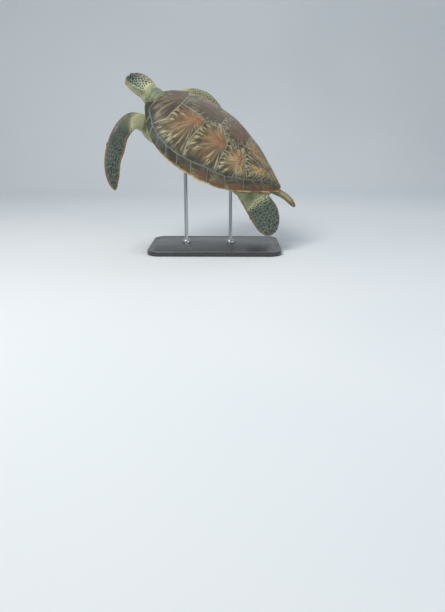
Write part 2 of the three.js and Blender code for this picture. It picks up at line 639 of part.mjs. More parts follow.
/** The flat base: a rounded plate with a small bevel round its top edge. */
function standBase() {
  const { length, width, height, corner, bevel } = BASE;
  const [x, y] = [length / 2 - bevel, width / 2 - bevel];
  const outline = new THREE.Shape();
  outline.moveTo(-x + corner, -y);
  outline.lineTo(x - corner, -y).absarc(x - corner, -y + corner, corner, -Math.PI / 2, 0, false);
  outline.lineTo(x, y - corner).absarc(x - corner, y - corner, corner, 0, Math.PI / 2, false);
  outline.lineTo(-x + corner, y).absarc(-x + corner, y - corner, corner, Math.PI / 2, Math.PI, false);
  outline.lineTo(-x, -y + corner).absarc(-x + corner, -y + corner, corner, Math.PI, 1.5 * Math.PI, false);
  const slab = new THREE.ExtrudeGeometry(outline, {
    depth: height - 2 * bevel, bevelThickness: bevel, bevelSize: bevel, bevelSegments: 1, curveSegments: 4,
  });
  return solidFrom(slab.translate(0, 0, bevel));
}

/** A rod from the base up to the belly, with a foot collar and a pad shaped to the belly, welded. */
function standRod(station, bodyRoom) {
  turtle.updateMatrixWorld(true);
  const toBody = turtle.matrixWorld.clone().invert();
  const touch = bellyPoint(0.5 - station, 0, BELLY_PLATE.proud);
  const top = turtle.localToWorld(touch.clone());
  const foot = BASE.height + GAP;
  const reach = top.z + ROD_RADIUS - foot;
  const rod = new THREE.CylinderGeometry(ROD_RADIUS, ROD_RADIUS, reach, 12).rotateX(Math.PI / 2);
  const { radius, height } = COLLAR;
  const collar = new THREE.CylinderGeometry(radius - height / 3, radius, height, 16).rotateX(Math.PI / 2);
  const pad = new THREE.CylinderGeometry(PAD.radius, PAD.radius, PAD.thickness, 16).rotateX(Math.PI / 2);
  return largest(join(
    solidFrom(rod.translate(top.x, top.y, foot + reach / 2).applyMatrix4(toBody)),
    solidFrom(collar.translate(top.x, top.y, foot + height / 2).applyMatrix4(toBody)),
    solidFrom(pad.translate(touch.x, touch.y, touch.z)),
  ).subtract(bodyRoom));
}

for (const [place, station] of Object.entries(ROD_STATIONS)) {
  turtle.add(piece(`stand_rod_${place}`, standRod(station, join(armour, torso)), 'rod'));
}

const model = new THREE.Group();
model.add(turtle);
model.add(piece('stand_base', standBase(), 'base'));

export default model;
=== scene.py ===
"""Green sea turtle on a display stand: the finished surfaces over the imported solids.

Shapes are worked out in the animal's own frame (+X to the head, +Y to its left, +Z out of its back,
origin mid-shell at the height of the rim, unit one straight shell length) and then set in its
swimming attitude over the base.
"""
import math
import bpy
import bmesh
import numpy as np
from mathutils import Matrix, Vector, geometry
from mathutils.kdtree import KDTree


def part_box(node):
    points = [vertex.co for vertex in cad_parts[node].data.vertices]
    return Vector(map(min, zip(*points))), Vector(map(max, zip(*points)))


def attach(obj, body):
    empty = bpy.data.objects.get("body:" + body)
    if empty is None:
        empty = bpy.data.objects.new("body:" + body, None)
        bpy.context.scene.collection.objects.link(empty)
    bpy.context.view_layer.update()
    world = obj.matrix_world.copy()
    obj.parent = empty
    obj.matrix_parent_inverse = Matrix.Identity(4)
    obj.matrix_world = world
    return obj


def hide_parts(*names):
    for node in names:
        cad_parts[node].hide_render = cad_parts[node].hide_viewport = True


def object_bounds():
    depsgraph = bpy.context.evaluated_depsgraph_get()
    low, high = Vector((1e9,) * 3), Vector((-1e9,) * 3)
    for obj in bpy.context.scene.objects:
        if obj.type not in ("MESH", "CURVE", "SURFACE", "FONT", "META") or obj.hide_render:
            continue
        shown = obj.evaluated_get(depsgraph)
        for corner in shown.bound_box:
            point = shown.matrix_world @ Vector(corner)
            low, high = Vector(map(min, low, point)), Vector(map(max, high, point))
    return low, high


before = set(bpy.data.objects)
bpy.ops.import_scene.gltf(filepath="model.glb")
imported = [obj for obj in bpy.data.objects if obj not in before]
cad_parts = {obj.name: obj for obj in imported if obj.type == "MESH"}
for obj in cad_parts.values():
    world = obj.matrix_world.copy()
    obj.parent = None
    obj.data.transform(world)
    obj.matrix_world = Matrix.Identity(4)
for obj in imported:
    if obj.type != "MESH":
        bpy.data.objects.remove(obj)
cad_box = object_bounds()
bpy.ops.object.select_all(action="DESELECT")

# ---------------------------------------------------------------- sizes, as in the solids

SHELL = 0.700
CENTRE = Vector((0, 0, 0.460))
ATTITUDE = (Matrix.Rotation(math.radians(180), 3, "Z") @ Matrix.Rotation(math.radians(-33.6), 3, "Y")
            @ Matrix.Rotation(math.radians(-26.3), 3, "X"))
SPIN = np.array(ATTITUDE)
MM = 0.001 / SHELL
rng = np.random.default_rng(7)


def place(points):
    """Body-frame points (shell lengths) to scene metres."""
    return np.asarray(points, float) * SHELL @ SPIN.T + np.array(CENTRE)


def unplace(points):
    """Scene metres back to body-frame points."""
    return (np.asarray(points, float) - np.array(CENTRE)) @ SPIN / SHELL


def profile(*pairs):
    """Smooth curve through (x, y) pairs that never overshoots them."""
    xs, ys = np.array(pairs, float).T
    step = np.diff(xs)
    slope = np.diff(ys) / step
    tangent = np.zeros(len(xs))
    tangent[0], tangent[-1] = slope[0], slope[-1]
    for i in range(1, len(slope)):
        if slope[i - 1] * slope[i] > 0:
            w1, w2 = 2 * step[i] + step[i - 1], step[i] + 2 * step[i - 1]
            tangent[i] = (w1 + w2) / (w1 / slope[i - 1] + w2 / slope[i])

    def curve(x):
        x = np.asarray(x, float)
        i = np.clip(np.searchsorted(xs, x, side="right") - 1, 0, len(slope) - 1)
        t = np.clip((x - xs[i]) / step[i], 0, 1)
        rise = ys[i + 1] - ys[i]
        a = tangent[i] * step[i] - rise
        b = rise - tangent[i + 1] * step[i]
        return ys[i] + t * rise + t * (1 - t) * (a * (1 - t) + b * t)

    return curve


def smooth(x, low, high):
    """Eases from 0 at low to 1 at high; high may be the smaller of the two."""
    t = np.clip((np.asarray(x, float) - low) / (high - low), 0, 1)
    return t * t * (3 - 2 * t)


def bend(value, power):
    """A power that keeps the sign: below 1 it fills a round section out, above 1 it draws it in."""
    return np.sign(value) * np.abs(value) ** power


# The shell by its station s, 0 at the nape and 1 at the tail: half its width, the height of its arch
# over the rim, the height of the rim, and how far across the rim plates start.
half_width = profile((0, .075), (.015, .122), (.05, .19), (.1, .273), (.2, .367), (.3, .405),
                     (.4, .415), (.5, .402), (.6, .37), (.7, .318), (.8, .24), (.88, .158),
                     (.94, .097), (.98, .05), (1, .03))
dome = profile((0, .022), (.1, .109), (.2, .164), (.35, .203), (.5, .203), (.7, .157), (.85, .09),
               (1, .012))
rim_height = profile((0, .03), (.15, 0), (.35, -.02), (.6, -.02), (.8, -.006), (.9, .004), (1, .012))
rim_share = profile((0, .8), (.06, .83), (.12, .888), (.24, .9), (.33, .89), (.42, .872), (.55, .85),
                    (.65, .842), (.735, .8), (.83, .705), (.88, .6), (.94, .5), (1, .45))
# Stations of the seams between the rim plates on the edge, and how far forward they lean inwards.
RIM_SEAMS = [.03, .08, .14, .21, .29, .375, .47, .575, .685, .795, .895, .963]
rim_lean = profile((0, 0), (.08, .006), (.3, .032), (.47, .042), (1, .04))
# Station and offset of the rear corner of the nuchal plate, and of the corners of the back plates.
NECK_PLATE = (.045, .085)
BACK_SEAM = [(.195, .066), (.376, .117), (.462, .052), (.558, .172), (.655, .08), (.685, .1),
             (.875, .036)]
# From a corner of the back plates, past a bend, to a station of the rim plates' inner line.
SIDE_SEAMS = [(0, (.172, .215), .118), (1, (.35, .295), .376), (3, (.562, .255), .584),
              (5, (.709, .157), .77), (6, (.863, .08), .845)]
SCALLOP = .006
# Share across the shell at which the trunk meets it.
TRUNK_SHARE = .8755
# The rim plates bulge from this seam back.
FIRST_SCALLOP = 7


def scallop(s):
    """How far the edge bulges out between two seams of the rim, 0 to 1."""
    s = np.asarray(s, float)
    seams = np.array(RIM_SEAMS)
    i = np.clip(np.searchsorted(seams, s, side="right"), 1, len(seams) - 1)
    lobe = np.sin(np.pi * (s - seams[i - 1]) / (seams[i] - seams[i - 1]))
    return np.where((i >= FIRST_SCALLOP) & (s < seams[-1]), np.clip(lobe, 0, 1), 0)


def shell_point(s, t, out=0.0):
    """Point of the upper shell at station s and share t across, -1 at the right edge, 1 at the left."""
    half = half_width(s) + SCALLOP * scallop(s) * t * t
    height = dome(s) * np.clip(1 - np.abs(t) ** 2.5, 0, 1) ** 1.15
    nape = -.012 * (1 - t * t) * (1 - s) ** 14
    return np.stack(np.broadcast_arrays(.5 - s + nape, half * t, rim_height(s) + height + out), -1)


def shell_depth(t):
    """Thickness of the plates, from the middle to the thinner edge."""
    return .013 + (.008 - .013) * np.abs(t) ** 4


belly_depth = profile((0, .02), (.06, .075), (.15, .118), (.3, .142), (.5, .146), (.7, .126),
                      (.85, .085), (.95, .04), (1, .01))


def belly_point(s, t, out=0.0):
    """Point of the belly at station s and share t across the trunk."""
    edge = shell_point(s, TRUNK_SHARE + 0 * s, -shell_depth(TRUNK_SHARE))[..., 2]
    drop = .012 + belly_depth(s) * np.clip(1 - np.abs(t) ** 3, 0, 1) ** .75 + out
    p = shell_point(s, TRUNK_SHARE * t)
    p[..., 2] = edge - drop
    return p


# ---------------------------------------------------------------- mesh helpers


def new_object(name, verts, faces):
    """A mesh object at the origin, from points in scene metres."""
    mesh = bpy.data.meshes.new(name)
    mesh.from_pydata([tuple(v) for v in verts], [], [tuple(int(i) for i in f) for f in faces])
    mesh.validate()
    obj = bpy.data.objects.new(name, mesh)
    bpy.context.collection.objects.link(obj)
    return obj


def outward(obj):
    """Merges doubles and turns every face outwards."""
    bm = bmesh.new()
    bm.from_mesh(obj.data)
    bmesh.ops.remove_doubles(bm, verts=bm.verts, dist=1e-6)
    bmesh.ops.recalc_face_normals(bm, faces=bm.faces)
    bm.to_mesh(obj.data)
    bm.free()


def soften(obj, degrees):
    """Shades smoothly but for edges sharper than the angle."""
    obj.data.shade_smooth()
    obj.data.set_sharp_from_angle(angle=math.radians(degrees))


def co(obj):
    """The points of a mesh, one row each."""
    out = np.empty(len(obj.data.vertices) * 3)
    obj.data.vertices.foreach_get("co", out)
    return out.reshape(-1, 3)


def set_co(obj, points):
    obj.data.vertices.foreach_set("co", np.asarray(points, np.float32).ravel())
    obj.data.update()


def normals(obj):
    """The outward way at each point of a mesh."""
    out = np.empty(len(obj.data.vertices) * 3)
    obj.data.vertices.foreach_get("normal", out)
    return out.reshape(-1, 3)


def note(obj, name, values):
    """Stores a number or a vector for every vertex, for the materials to read."""
    values = np.asarray(values, np.float32)
    kind = "FLOAT_VECTOR" if values.ndim == 2 else "FLOAT"
    layer = obj.data.attributes.new(name, kind, "POINT")
    layer.data.foreach_set("vector" if values.ndim == 2 else "value", values.ravel())


def ring_faces(rings, around, first=0):
    """Quads between neighbouring rings of points, the first of which has the given number."""
    faces = []
    for r in range(rings - 1):
        a = first + r * around
        b = a + around
        faces += [(a + k, a + (k + 1) % around, b + (k + 1) % around, b + k) for k in range(around)]
    return faces


def loft(rings, around, section):
    """Closed skin of rings between two tips; section(along, angle) gives its points."""
    along = np.linspace(0, 1, rings + 1)
    angle = np.linspace(-np.pi, np.pi, around, endpoint=False)
    grid = section(along[1:-1, None], angle[None, :]).reshape(-1, 3)
    tips = [section(np.array([[a]]), np.array([[0.0]])).reshape(3) for a in (0.0, 1.0)]
    verts = np.vstack([grid, tips])
    count = rings - 1
    faces = ring_faces(count, around)
    for k in range(around):
        n = (k + 1) % around
        faces.append((count * around, n, k))
        faces.append((count * around + 1, (count - 1) * around + k, (count - 1) * around + n))
    return verts, faces


def spline(points):
    """Centripetal Catmull-Rom curve through points: its place and its unit tangent at share a."""
    p = np.array(points, float)
    d = np.linalg.norm(np.diff(p, axis=0), axis=1) ** .5
    first = 2 * p[0] - p[1]
    last = 2 * p[-1] - p[-2]
    q = np.vstack([first, p, last])
    dt = np.r_[d[0], d, d[-1]]

    def at(a):
        a = np.clip(np.asarray(a, float), 0, 1) * (len(p) - 1)
        i = np.minimum(a.astype(int), len(p) - 2)
        t = (a - i)[..., None]
        p0, p1, p2, p3 = q[i], q[i + 1], q[i + 2], q[i + 3]
        d0, d1, d2 = (dt[i + k][..., None] for k in range(3))
        m1 = ((p1 - p0) / d0 - (p2 - p0) / (d0 + d1) + (p2 - p1) / d1) * d1
        m2 = ((p2 - p1) / d1 - (p3 - p1) / (d1 + d2) + (p3 - p2) / d2) * d1
        return (p1 + m1 * t + (3 * (p2 - p1) - 2 * m1 - m2) * t ** 2
                + (2 * (p1 - p2) + m1 + m2) * t ** 3)

    def along(a):
        h = at(np.minimum(a + 1e-3, 1)) - at(np.maximum(a - 1e-3, 0))
        return h / np.linalg.norm(h, axis=-1, keepdims=True)

    return at, along


# ---------------------------------------------------------------- node helpers


class Graph:
    """Small helper that adds nodes to one tree, linking sockets and setting plain values."""

    def __init__(self, tree):
        self.tree = tree

    def put(self, socket, value):
        if isinstance(value, bpy.types.NodeSocket):
            self.tree.links.new(value, socket)
            return
        if isinstance(value, tuple) and len(value) == 3 and socket.type == "RGBA":
            value = value + (1,)
        socket.default_value = value

    def node(self, kind, sockets=(), **settings):
        made = self.tree.nodes.new("ShaderNode" + kind)
        for key, value in settings.items():
            setattr(made, key, value)
        for key, value in dict(sockets).items():
            self.put(made.inputs[key], value)
        return made

    def attr(self, name, out="Vector"):
        return self.node("Attribute", attribute_type="GEOMETRY", attribute_name=name).outputs[out]

    def split(self, vector):
        return self.node("SeparateXYZ", {0: vector}).outputs

    def join(self, x, y, z=0.0):
        return self.node("CombineXYZ", {0: x, 1: y, 2: z}).outputs[0]

    def math(self, kind, a, b=0.0, clamp=False):
        return self.node("Math", {0: a, 1: b}, operation=kind, use_clamp=clamp).outputs[0]

    def times(self, a, b):
        return self.math("MULTIPLY", a, b)

    def plus(self, a, b):
        return self.math("ADD", a, b)

    def minus(self, a, b):
        return self.math("SUBTRACT", a, b)

    def vector(self, kind, a, b):
        return self.node("VectorMath", {0: a, 1: b}, operation=kind).outputs[0]

    def scale(self, a, amount):
        made = self.node("VectorMath", {0: a}, operation="SCALE")
        self.put(made.inputs["Scale"], amount)
        return made.outputs[0]

    def step(self, value, low, high, a=0.0, b=1.0):
        """Eases from a, where the value is low, to b, where it is high."""
        return self.node("MapRange", {"Value": value, "From Min": low, "From Max": high, "To Min": a,
                                      "To Max": b}, interpolation_type="SMOOTHSTEP").outputs[0]

    def mix(self, fac, a, b):
        made = self.node("Mix", data_type="RGBA")
        for index, value in ((0, fac), (6, a), (7, b)):
            self.put(made.inputs[index], value)
        return made.outputs[2]

    def fade(self, fac, a, b):
        made = self.node("Mix", data_type="FLOAT")
        for index, value in ((0, fac), (2, a), (3, b)):
            self.put(made.inputs[index], value)
        return made.outputs[0]

    def noise(self, vector, scale, detail=3.0, rough=.55, warp=0.0, w=None):
        made = self.node("TexNoise", {"Vector": vector, "Scale": scale, "Detail": detail,
                                      "Roughness": rough, "Distortion": warp},
                         noise_dimensions="3D" if w is None else "4D")
        if w is not None:
            self.put(made.inputs["W"], w)
        return made.outputs["Fac"]

    def cells(self, vector, feature="DISTANCE_TO_EDGE", spread=.9, out="Distance", space="3D"):
        made = self.node("TexVoronoi", feature=feature, voronoi_dimensions=space)
        for key, value in (("Vector", vector), ("Scale", 1.0), ("Randomness", spread)):
            self.put(made.inputs[key], value)
        return made.outputs[out]

    def use(self, group, **sockets):
        made = self.tree.nodes.new("ShaderNodeGroup")
        made.node_tree = group
        for key, value in sockets.items():
            self.put(made.inputs[key.replace("_", " ")], value)
        return made.outputs


def group(name, inputs, outputs):
    """An empty shader group: its tree, its helper, what it is given and what it puts out."""
    tree = bpy.data.node_groups.new(name, "ShaderNodeTree")
    for label, kind in inputs:
        tree.interface.new_socket(label, in_out="INPUT", socket_type="NodeSocket" + kind)
    for label, kind in outputs:
        tree.interface.new_socket(label, in_out="OUTPUT", socket_type="NodeSocket" + kind)
    graph = Graph(tree)
    return tree, graph, tree.nodes.new("NodeGroupInput").outputs, tree.nodes.new("NodeGroupOutput").inputs


def material(name, **constants):
    """A material with plain values on its shader, its helper and the shader's inputs."""
    made = bpy.data.materials.new(name)
    made.use_nodes = True
    shader = made.node_tree.nodes["Principled BSDF"]
    for key, value in constants.items():
        shader.inputs[key.replace("_", " ")].default_value = value
    return made, Graph(made.node_tree), shader.inputs


def relief(graph, height, strength, distance):
    return graph.node("Bump", {"Height": height, "Strength": strength, "Distance": distance}).outputs[0]


def srgb(r, g, b):
    """The linear colour of a screen colour."""
    return tuple((c / 255 / 12.92) if c / 255 <= .04045 else ((c / 255 + .055) / 1.055) ** 2.4
                 for c in (r, g, b))


def coordinates(graph):
    return graph.node("TexCoord").outputs["Object"]


def surface_grain():
    """Fine unevenness that every surface of the model carries, at its own scale."""
    tree, g, given, out = group("surface grain", [("Vector", "Vector"), ("Scale", "Float")],
                                [("Fine", "Float"), ("Broad", "Float")])
    g.put(out["Fine"], g.noise(given["Vector"], given["Scale"], 5, .62))
    g.put(out["Broad"], g.noise(g.scale(given["Vector"], .13), given["Scale"], 2, .5))
    return tree


def growth_rays():
    """Streaks that fan out from where a horn plate began to grow, coarse to fine, and blotches."""
    tree, g, given, out = group("growth rays", [("Fan", "Vector"), ("Seed", "Float"), ("Count", "Float")],
                                [(label, "Float") for label in ("Bold", "Thin", "Hair", "Blotch")])
    x, y, reach = g.split(given["Fan"])
    seed = g.times(given["Seed"], 53.0)
    for label, finer, drift in (("Bold", .45, 1.6), ("Thin", 1.0, 3.6), ("Hair", 2.6, 6.0)):
        ring = g.times(given["Count"], finer)
        fan = g.join(g.times(x, ring), g.times(y, ring), g.times(reach, drift))
        g.put(out[label], g.noise(fan, 1.0, 2, .5, .25, seed))
    g.put(out["Blotch"], g.noise(g.join(g.times(x, reach), g.times(y, reach), seed), 3.6, 3, .6, .6))
    return tree


GRAIN = surface_grain()
RAYS = growth_rays()

# ---------------------------------------------------------------- shell plates


def seam_lines():
    """Every seam of the upper shell as plan points (station, offset), both sides."""

    def rim(s):
        return (s, float(rim_share(s) * half_width(s)))

    def edge(s):
        return (s, float(half_width(s) + SCALLOP * scallop(s)) + .004)

    inner = [s - float(rim_lean(s)) for s in RIM_SEAMS[1:]]
    stations = sorted({NECK_PLATE[0], RIM_SEAMS[-1], *(end for _, _, end in SIDE_SEAMS), *inner})
    one = [BACK_SEAM] + [[BACK_SEAM[k], elbow, rim(end)] for k, elbow, end in SIDE_SEAMS]
    one += [[(NECK_PLATE[0], 0), NECK_PLATE, rim(NECK_PLATE[0])], [NECK_PLATE, (-.02, .0774)]]
    one += [[rim(s) for s in stations], [(RIM_SEAMS[-1], 0), rim(RIM_SEAMS[-1])]]
    one += [[rim(a), edge(s)] for a, s in zip(inner, RIM_SEAMS[1:])]
    one += [[(BACK_SEAM[k][0], 0), BACK_SEAM[k]] for k in (0, 2, 4, 6)]
    lines = one + [[(s, -v) for s, v in line] for line in one]
    return lines + [[(RIM_SEAMS[-1], 0), (1.02, 0)]]


def wander(line, step=.022, sway=.0013):
    """Cuts a straight run into pieces that sway a little, as grown seams do."""
    out = [line[0]]
    for a, b in zip(line, line[1:]):
        a, b = np.array(a), np.array(b)
        run = np.linalg.norm(b - a)
        count = max(1, int(run / step))
        across = np.array([-(b - a)[1], (b - a)[0]]) / max(run, 1e-9)
        for k in range(1, count + 1):
            f = k / count
            lean = 0 if k == count else sway * math.sin(9.1 * f + 31 * abs(a[0]) + 17 * abs(a[1]))
            out.append(tuple(a + (b - a) * f + across * lean * (1 if a[1] + b[1] >= 0 else -1)))
    return out


def segment_distance(points, ends_a, ends_b):
    """How far each point lies from the nearest of many straight runs."""
    best = np.full(len(points), 9.0)
    for a, b in zip(ends_a, ends_b):
        run = b - a
        f = np.clip(((points - a) @ run) / max(run @ run, 1e-12), 0, 1)
        best = np.minimum(best, np.linalg.norm(points - a - f[:, None] * run, axis=1))
    return best


def plate_spots():
    """A point of the plan inside each plate."""
    spots = {"nuchal_plate": (.02, 0)}
    for k, s in enumerate((.13, .34, .56, .75, .92)):
        spots[f"back_plate_{k + 1}"] = (s, 0)
    ends = RIM_SEAMS + [1]
    for side, sign in (("left", 1), ("right", -1)):
        for k, (s, v) in enumerate(((.27, .22), (.47, .23), (.65, .21), (.8, .13))):
            spots[f"side_plate_{side}_{k + 1}"] = (s, v * sign)
        for k, (start, end) in enumerate(zip(ends, ends[1:])):
            s = float(start + end - rim_lean(end)) / 2
            v = float(half_width(s) * (1 + rim_share(s)) / 2) * sign
            spots[f"rim_plate_{side}_{k + 1:02d}"] = (s, v)
    return spots


# Where each inner plate's rays start: station and offset from the midline.
GROWTH = {"nuchal_plate": (.044, 0), "back_plate_1": (.19, 0), "back_plate_2": (.4, 0),
          "back_plate_3": (.585, 0), "back_plate_4": (.72, 0), "back_plate_5": (.88, 0),
          "side_plate_1": (.322, .165), "side_plate_2": (.522, .19), "side_plate_3": (.672, .18),
          "side_plate_4": (.82, .088)}
# How strongly each plate takes the orange and yellow of the sides.
WARMTH = {"nuchal": .25, "back": .3, "side": 1.0, "rim": .7}
# Stands in for the warmth on the lower faces, which are plain pale horn.
UNDERSIDE = -1.0
# How far a plate goes over to cream and pale gold.
GOLD = {"side_1": .22, "side_2": .18, "side_3": .85, "side_4": 1.0, "back_3": .15, "back_4": .8,
        "back_5": .6}


def growth_spot(name):
    """Where a plate's rays start, in the plan."""
    if name.startswith("rim"):
        index = int(name[-2:])
        s = (RIM_SEAMS + [1])[index] - .012
        return s, float(half_width(s)) * .97 * (1 if "left" in name else -1)
    if name.startswith("side"):
        s, v = GROWTH[name.replace("_left", "").replace("_right", "")]
        return s, v * (1 if "left" in name else -1)
    return GROWTH[name]


def plan_outline():
    """The shell's edge in the plan, all the way round."""
    s = np.r_[np.linspace(0, .06, 40), np.linspace(.062, 1, 300)]
    v = half_width(s) + SCALLOP * scallop(s)
    front = [(0.0, k) for k in np.linspace(-v[0], v[0], 24)[1:-1]]
    rear = [(1.0, k) for k in np.linspace(v[-1], -v[-1], 12)[1:-1]]
    left = list(zip(s, v))
    return front + left + rear + [(s, -v) for s, v in reversed(left)]


def cut_fine(line, step):
    """The same line with points no further apart than about a step."""
    dense = [line[0]]
    for a, b in zip(line, line[1:]):
        count = max(1, int(math.dist(a, b) / step))
        dense += [tuple(np.array(a) + (np.array(b) - np.array(a)) * k / count)
                  for k in range(1, count + 1)]
    return dense


def open_points(step, a, b):
    """Staggered rows of points over the plan, away from the seams' runs from a to b."""
    rows = []
    for k, s in enumerate(np.arange(step, 1 - step, step * .866)):
        reach = float(half_width(s))
        v = np.arange(-reach + step * (.5 * (k % 2) + .7), reach - step * .6, step)
        rows.append(np.c_[np.full(len(v), s), v])
    free = np.vstack(rows)
    return free[segment_distance(free, a, b) > 2.9 * MM]


def points_beside(step, a, b):
    """A row of points close along both sides of every seam, for the rounding of its edges."""
    beside = []
    for p, q in zip(a, b):
        run = q - p
        length = np.linalg.norm(run)
        across = np.array([-run[1], run[0]]) / max(length, 1e-9)
        for f in np.arange(.5 * step, length, step) / max(length, 1e-9):
            beside += [p + run * f + across * 1.5 * MM, p + run * f - across * 1.5 * MM]
    beside = np.array(beside)
    keep = (segment_distance(beside, a, b) > 1.3 * MM) & (beside[:, 0] > .001) & (beside[:, 0] < .999)
    keep &= np.abs(beside[:, 1]) < half_width(beside[:, 0]) - 1.2 * MM
    return beside[keep]


def plan_mesh():
    """Fine triangles over the shell's plan, with every seam and the outline as edges."""
    step = 3.3 * MM
    lines = [wander(line) for line in seam_lines()]
    a = np.array([p for line in lines for p in line[:-1]])
    b = np.array([p for line in lines for p in line[1:]])
    points, edges = [], []
    for line in lines:
        dense = cut_fine(line, step)
        edges += [(k, k + 1) for k in range(len(points), len(points) + len(dense) - 1)]
        points += dense
    outline = plan_outline()
    first = len(points)
    edges += [(first + k, first + (k + 1) % len(outline)) for k in range(len(outline))]
    everything = np.vstack([points, outline, open_points(step, a, b), points_beside(step, a, b)])
    verts, out_edges, faces, _, origin, _ = geometry.delaunay_2d_cdt(
        [Vector(p) for p in everything], edges, [], 0, 1e-6, True)
    walls = {tuple(sorted(e)) for e, source in zip(out_edges, origin) if source}
    return np.array([tuple(v) for v in verts]), [tuple(f) for f in faces], walls, a, b


def triangle_edges(f):
    return (f[0], f[1]), (f[1], f[2]), (f[2], f[0])


def plates_of(verts, faces, walls):
    """Groups triangles that no seam parts, and names each group."""
    sides = {}
    for k, f in enumerate(faces):
        for e in triangle_edges(f):
            sides.setdefault(tuple(sorted(e)), []).append(k)
    boss = list(range(len(faces)))

    def find(k):
        while boss[k] != k:
            boss[k] = boss[boss[k]]
            k = boss[k]
        return k

    for e, pair in sides.items():
        if len(pair) == 2 and e not in walls:
            boss[find(pair[0])] = find(pair[1])
    roots = np.array([find(k) for k in range(len(faces))])
    middles = verts[np.array(faces)].mean(1)
    named = {}
    for name, spot in plate_spots().items():
        nearest = np.linalg.norm(middles - np.array(spot), axis=1).argmin()
        named[name] = np.flatnonzero(roots == roots[nearest])
    return named


def across_share(s, v):
    """How far across the shell an offset lies, from 0 at the middle to 1 at the scalloped edge."""
    half = half_width(s)
    t = v / half
    for _ in range(3):
        t = v / (half + SCALLOP * scallop(s) * t * t)
    return np.clip(t, -1, 1)


def shell_faces(s, v, t, seam, lip):
    """Upper face with its growth relief and worn edges, and lower face, over the points of the plan."""
    wave = .5 * np.sin(41 * s + 3 * v) * np.sin(37 * v + 5 * s + 1) + .35 * np.sin(83 * s) * np.cos(71 * v)
    rise = -.8 * (1 - smooth(seam, 0, 3.6)) + 1.0 * smooth(seam, 2, 30) + .5 * wave * smooth(seam, 0, 12)
    rise += 1.6 * np.exp(-(v / .03) ** 2) * smooth(seam, 0, 25) - 2.2 * (1 - smooth(lip, 0, 6)) ** 2
    top = shell_point(s, t)
    top[:, 2] += rise * MM
    low = shell_point(s, t, -shell_depth(t))
    low[:, 2] += 1.6 * (1 - smooth(lip, 0, 5)) ** 2 * MM
    return place(top), place(low)


def slab(tri, count):
    """Upper triangles, the same turned over below them, and a wall along the border."""
    users = {}
    for f in tri:
        for e in triangle_edges(f):
            users.setdefault(tuple(sorted(e)), []).append(e)
    border = [pair[0] for pair in users.values() if len(pair) == 1]
    shut = [tuple(f) for f in tri] + [(f[2] + count, f[1] + count, f[0] + count) for f in tri]
    return shut + [(b, a, a + count, b + count) for a, b in border]


def mark_plate(obj, name, plan, seam, lip, rim_gap):
    """Notes for the horn, upper points first: fan of growth, edges in millimetres, warmth and shade."""
    count = len(plan)
    centre = np.array(growth_spot(name))
    off = plan - centre
    far = np.linalg.norm(off, axis=1)
    way = np.where(far[:, None] > 1e-6, off / np.maximum(far, 1e-6)[:, None], 0)
    reach = far / (far + np.minimum(seam, 60) * MM + .001)
    outer = 1 if centre[1] >= 0 else -1
    kind = name.split("_")[0]
    warm = WARMTH[kind]
    # the plates over the nape and along the front rim stay dull, those at the rear are warm
    if kind == "rim":
        warm *= .05 + 1.05 * float(smooth(centre[0], .2, .65))
    if kind == "back":
        warm += .5 * float(smooth(centre[0], .45, .75))
    gold = GOLD.get(kind + "_" + name[-1], 0)
    warmth = np.repeat((warm, UNDERSIDE), count)
    note(obj, "fan", np.tile(np.c_[way * (1, outer), reach], (2, 1)))
    note(obj, "bounds", np.tile(np.c_[seam, lip, np.full(count, rng.random())], (2, 1)))
    note(obj, "shadow", np.tile(.5 + .35 * smooth(plan[:, 0], .4, .15), 2))
    note(obj, "side", np.c_[warmth, np.tile(rim_gap, 2), np.full(2 * count, gold)])


def shell_plates(horn, rim_horn):
    """One closed slab for each plate, all cut from one plan of the whole shell."""
    verts, faces, walls, seam_a, seam_b = plan_mesh()
    s, v = verts[:, 0], verts[:, 1]
    t = across_share(s, v)
    seam = segment_distance(verts, seam_a, seam_b) / MM
    rim_s = np.linspace(NECK_PLATE[0], RIM_SEAMS[-1], 60)
    rim_run = np.c_[rim_s, rim_share(rim_s) * half_width(rim_s)]
    rim_gap = segment_distance(np.c_[s, np.abs(v)], rim_run[:-1], rim_run[1:]) / MM
    lip = (half_width(s) * (1 - np.abs(t))) / MM + 4 * smooth(s, .38, .18) * smooth(v, -.05, .1)
    lip = np.minimum(lip, np.minimum(s, 1 - s) / MM * 1.6)
    top, low = shell_faces(s, v, t, seam, lip)
    for name, chosen in plates_of(verts, faces, walls).items():
        tri = np.array([faces[k] for k in chosen])
        used, flat = np.unique(tri, return_inverse=True)
        obj = new_object(name.replace("_plate", "_shield"), np.vstack([top[used], low[used]]),
                         slab(flat.reshape(-1, 3), len(used)))
        mark_plate(obj, name, verts[used], seam[used], lip[used], rim_gap[used])
        outward(obj)
        soften(obj, 50)
        obj.data.materials.append(rim_horn if name.startswith("rim") else horn)
        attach(obj, "root")
        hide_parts(name)


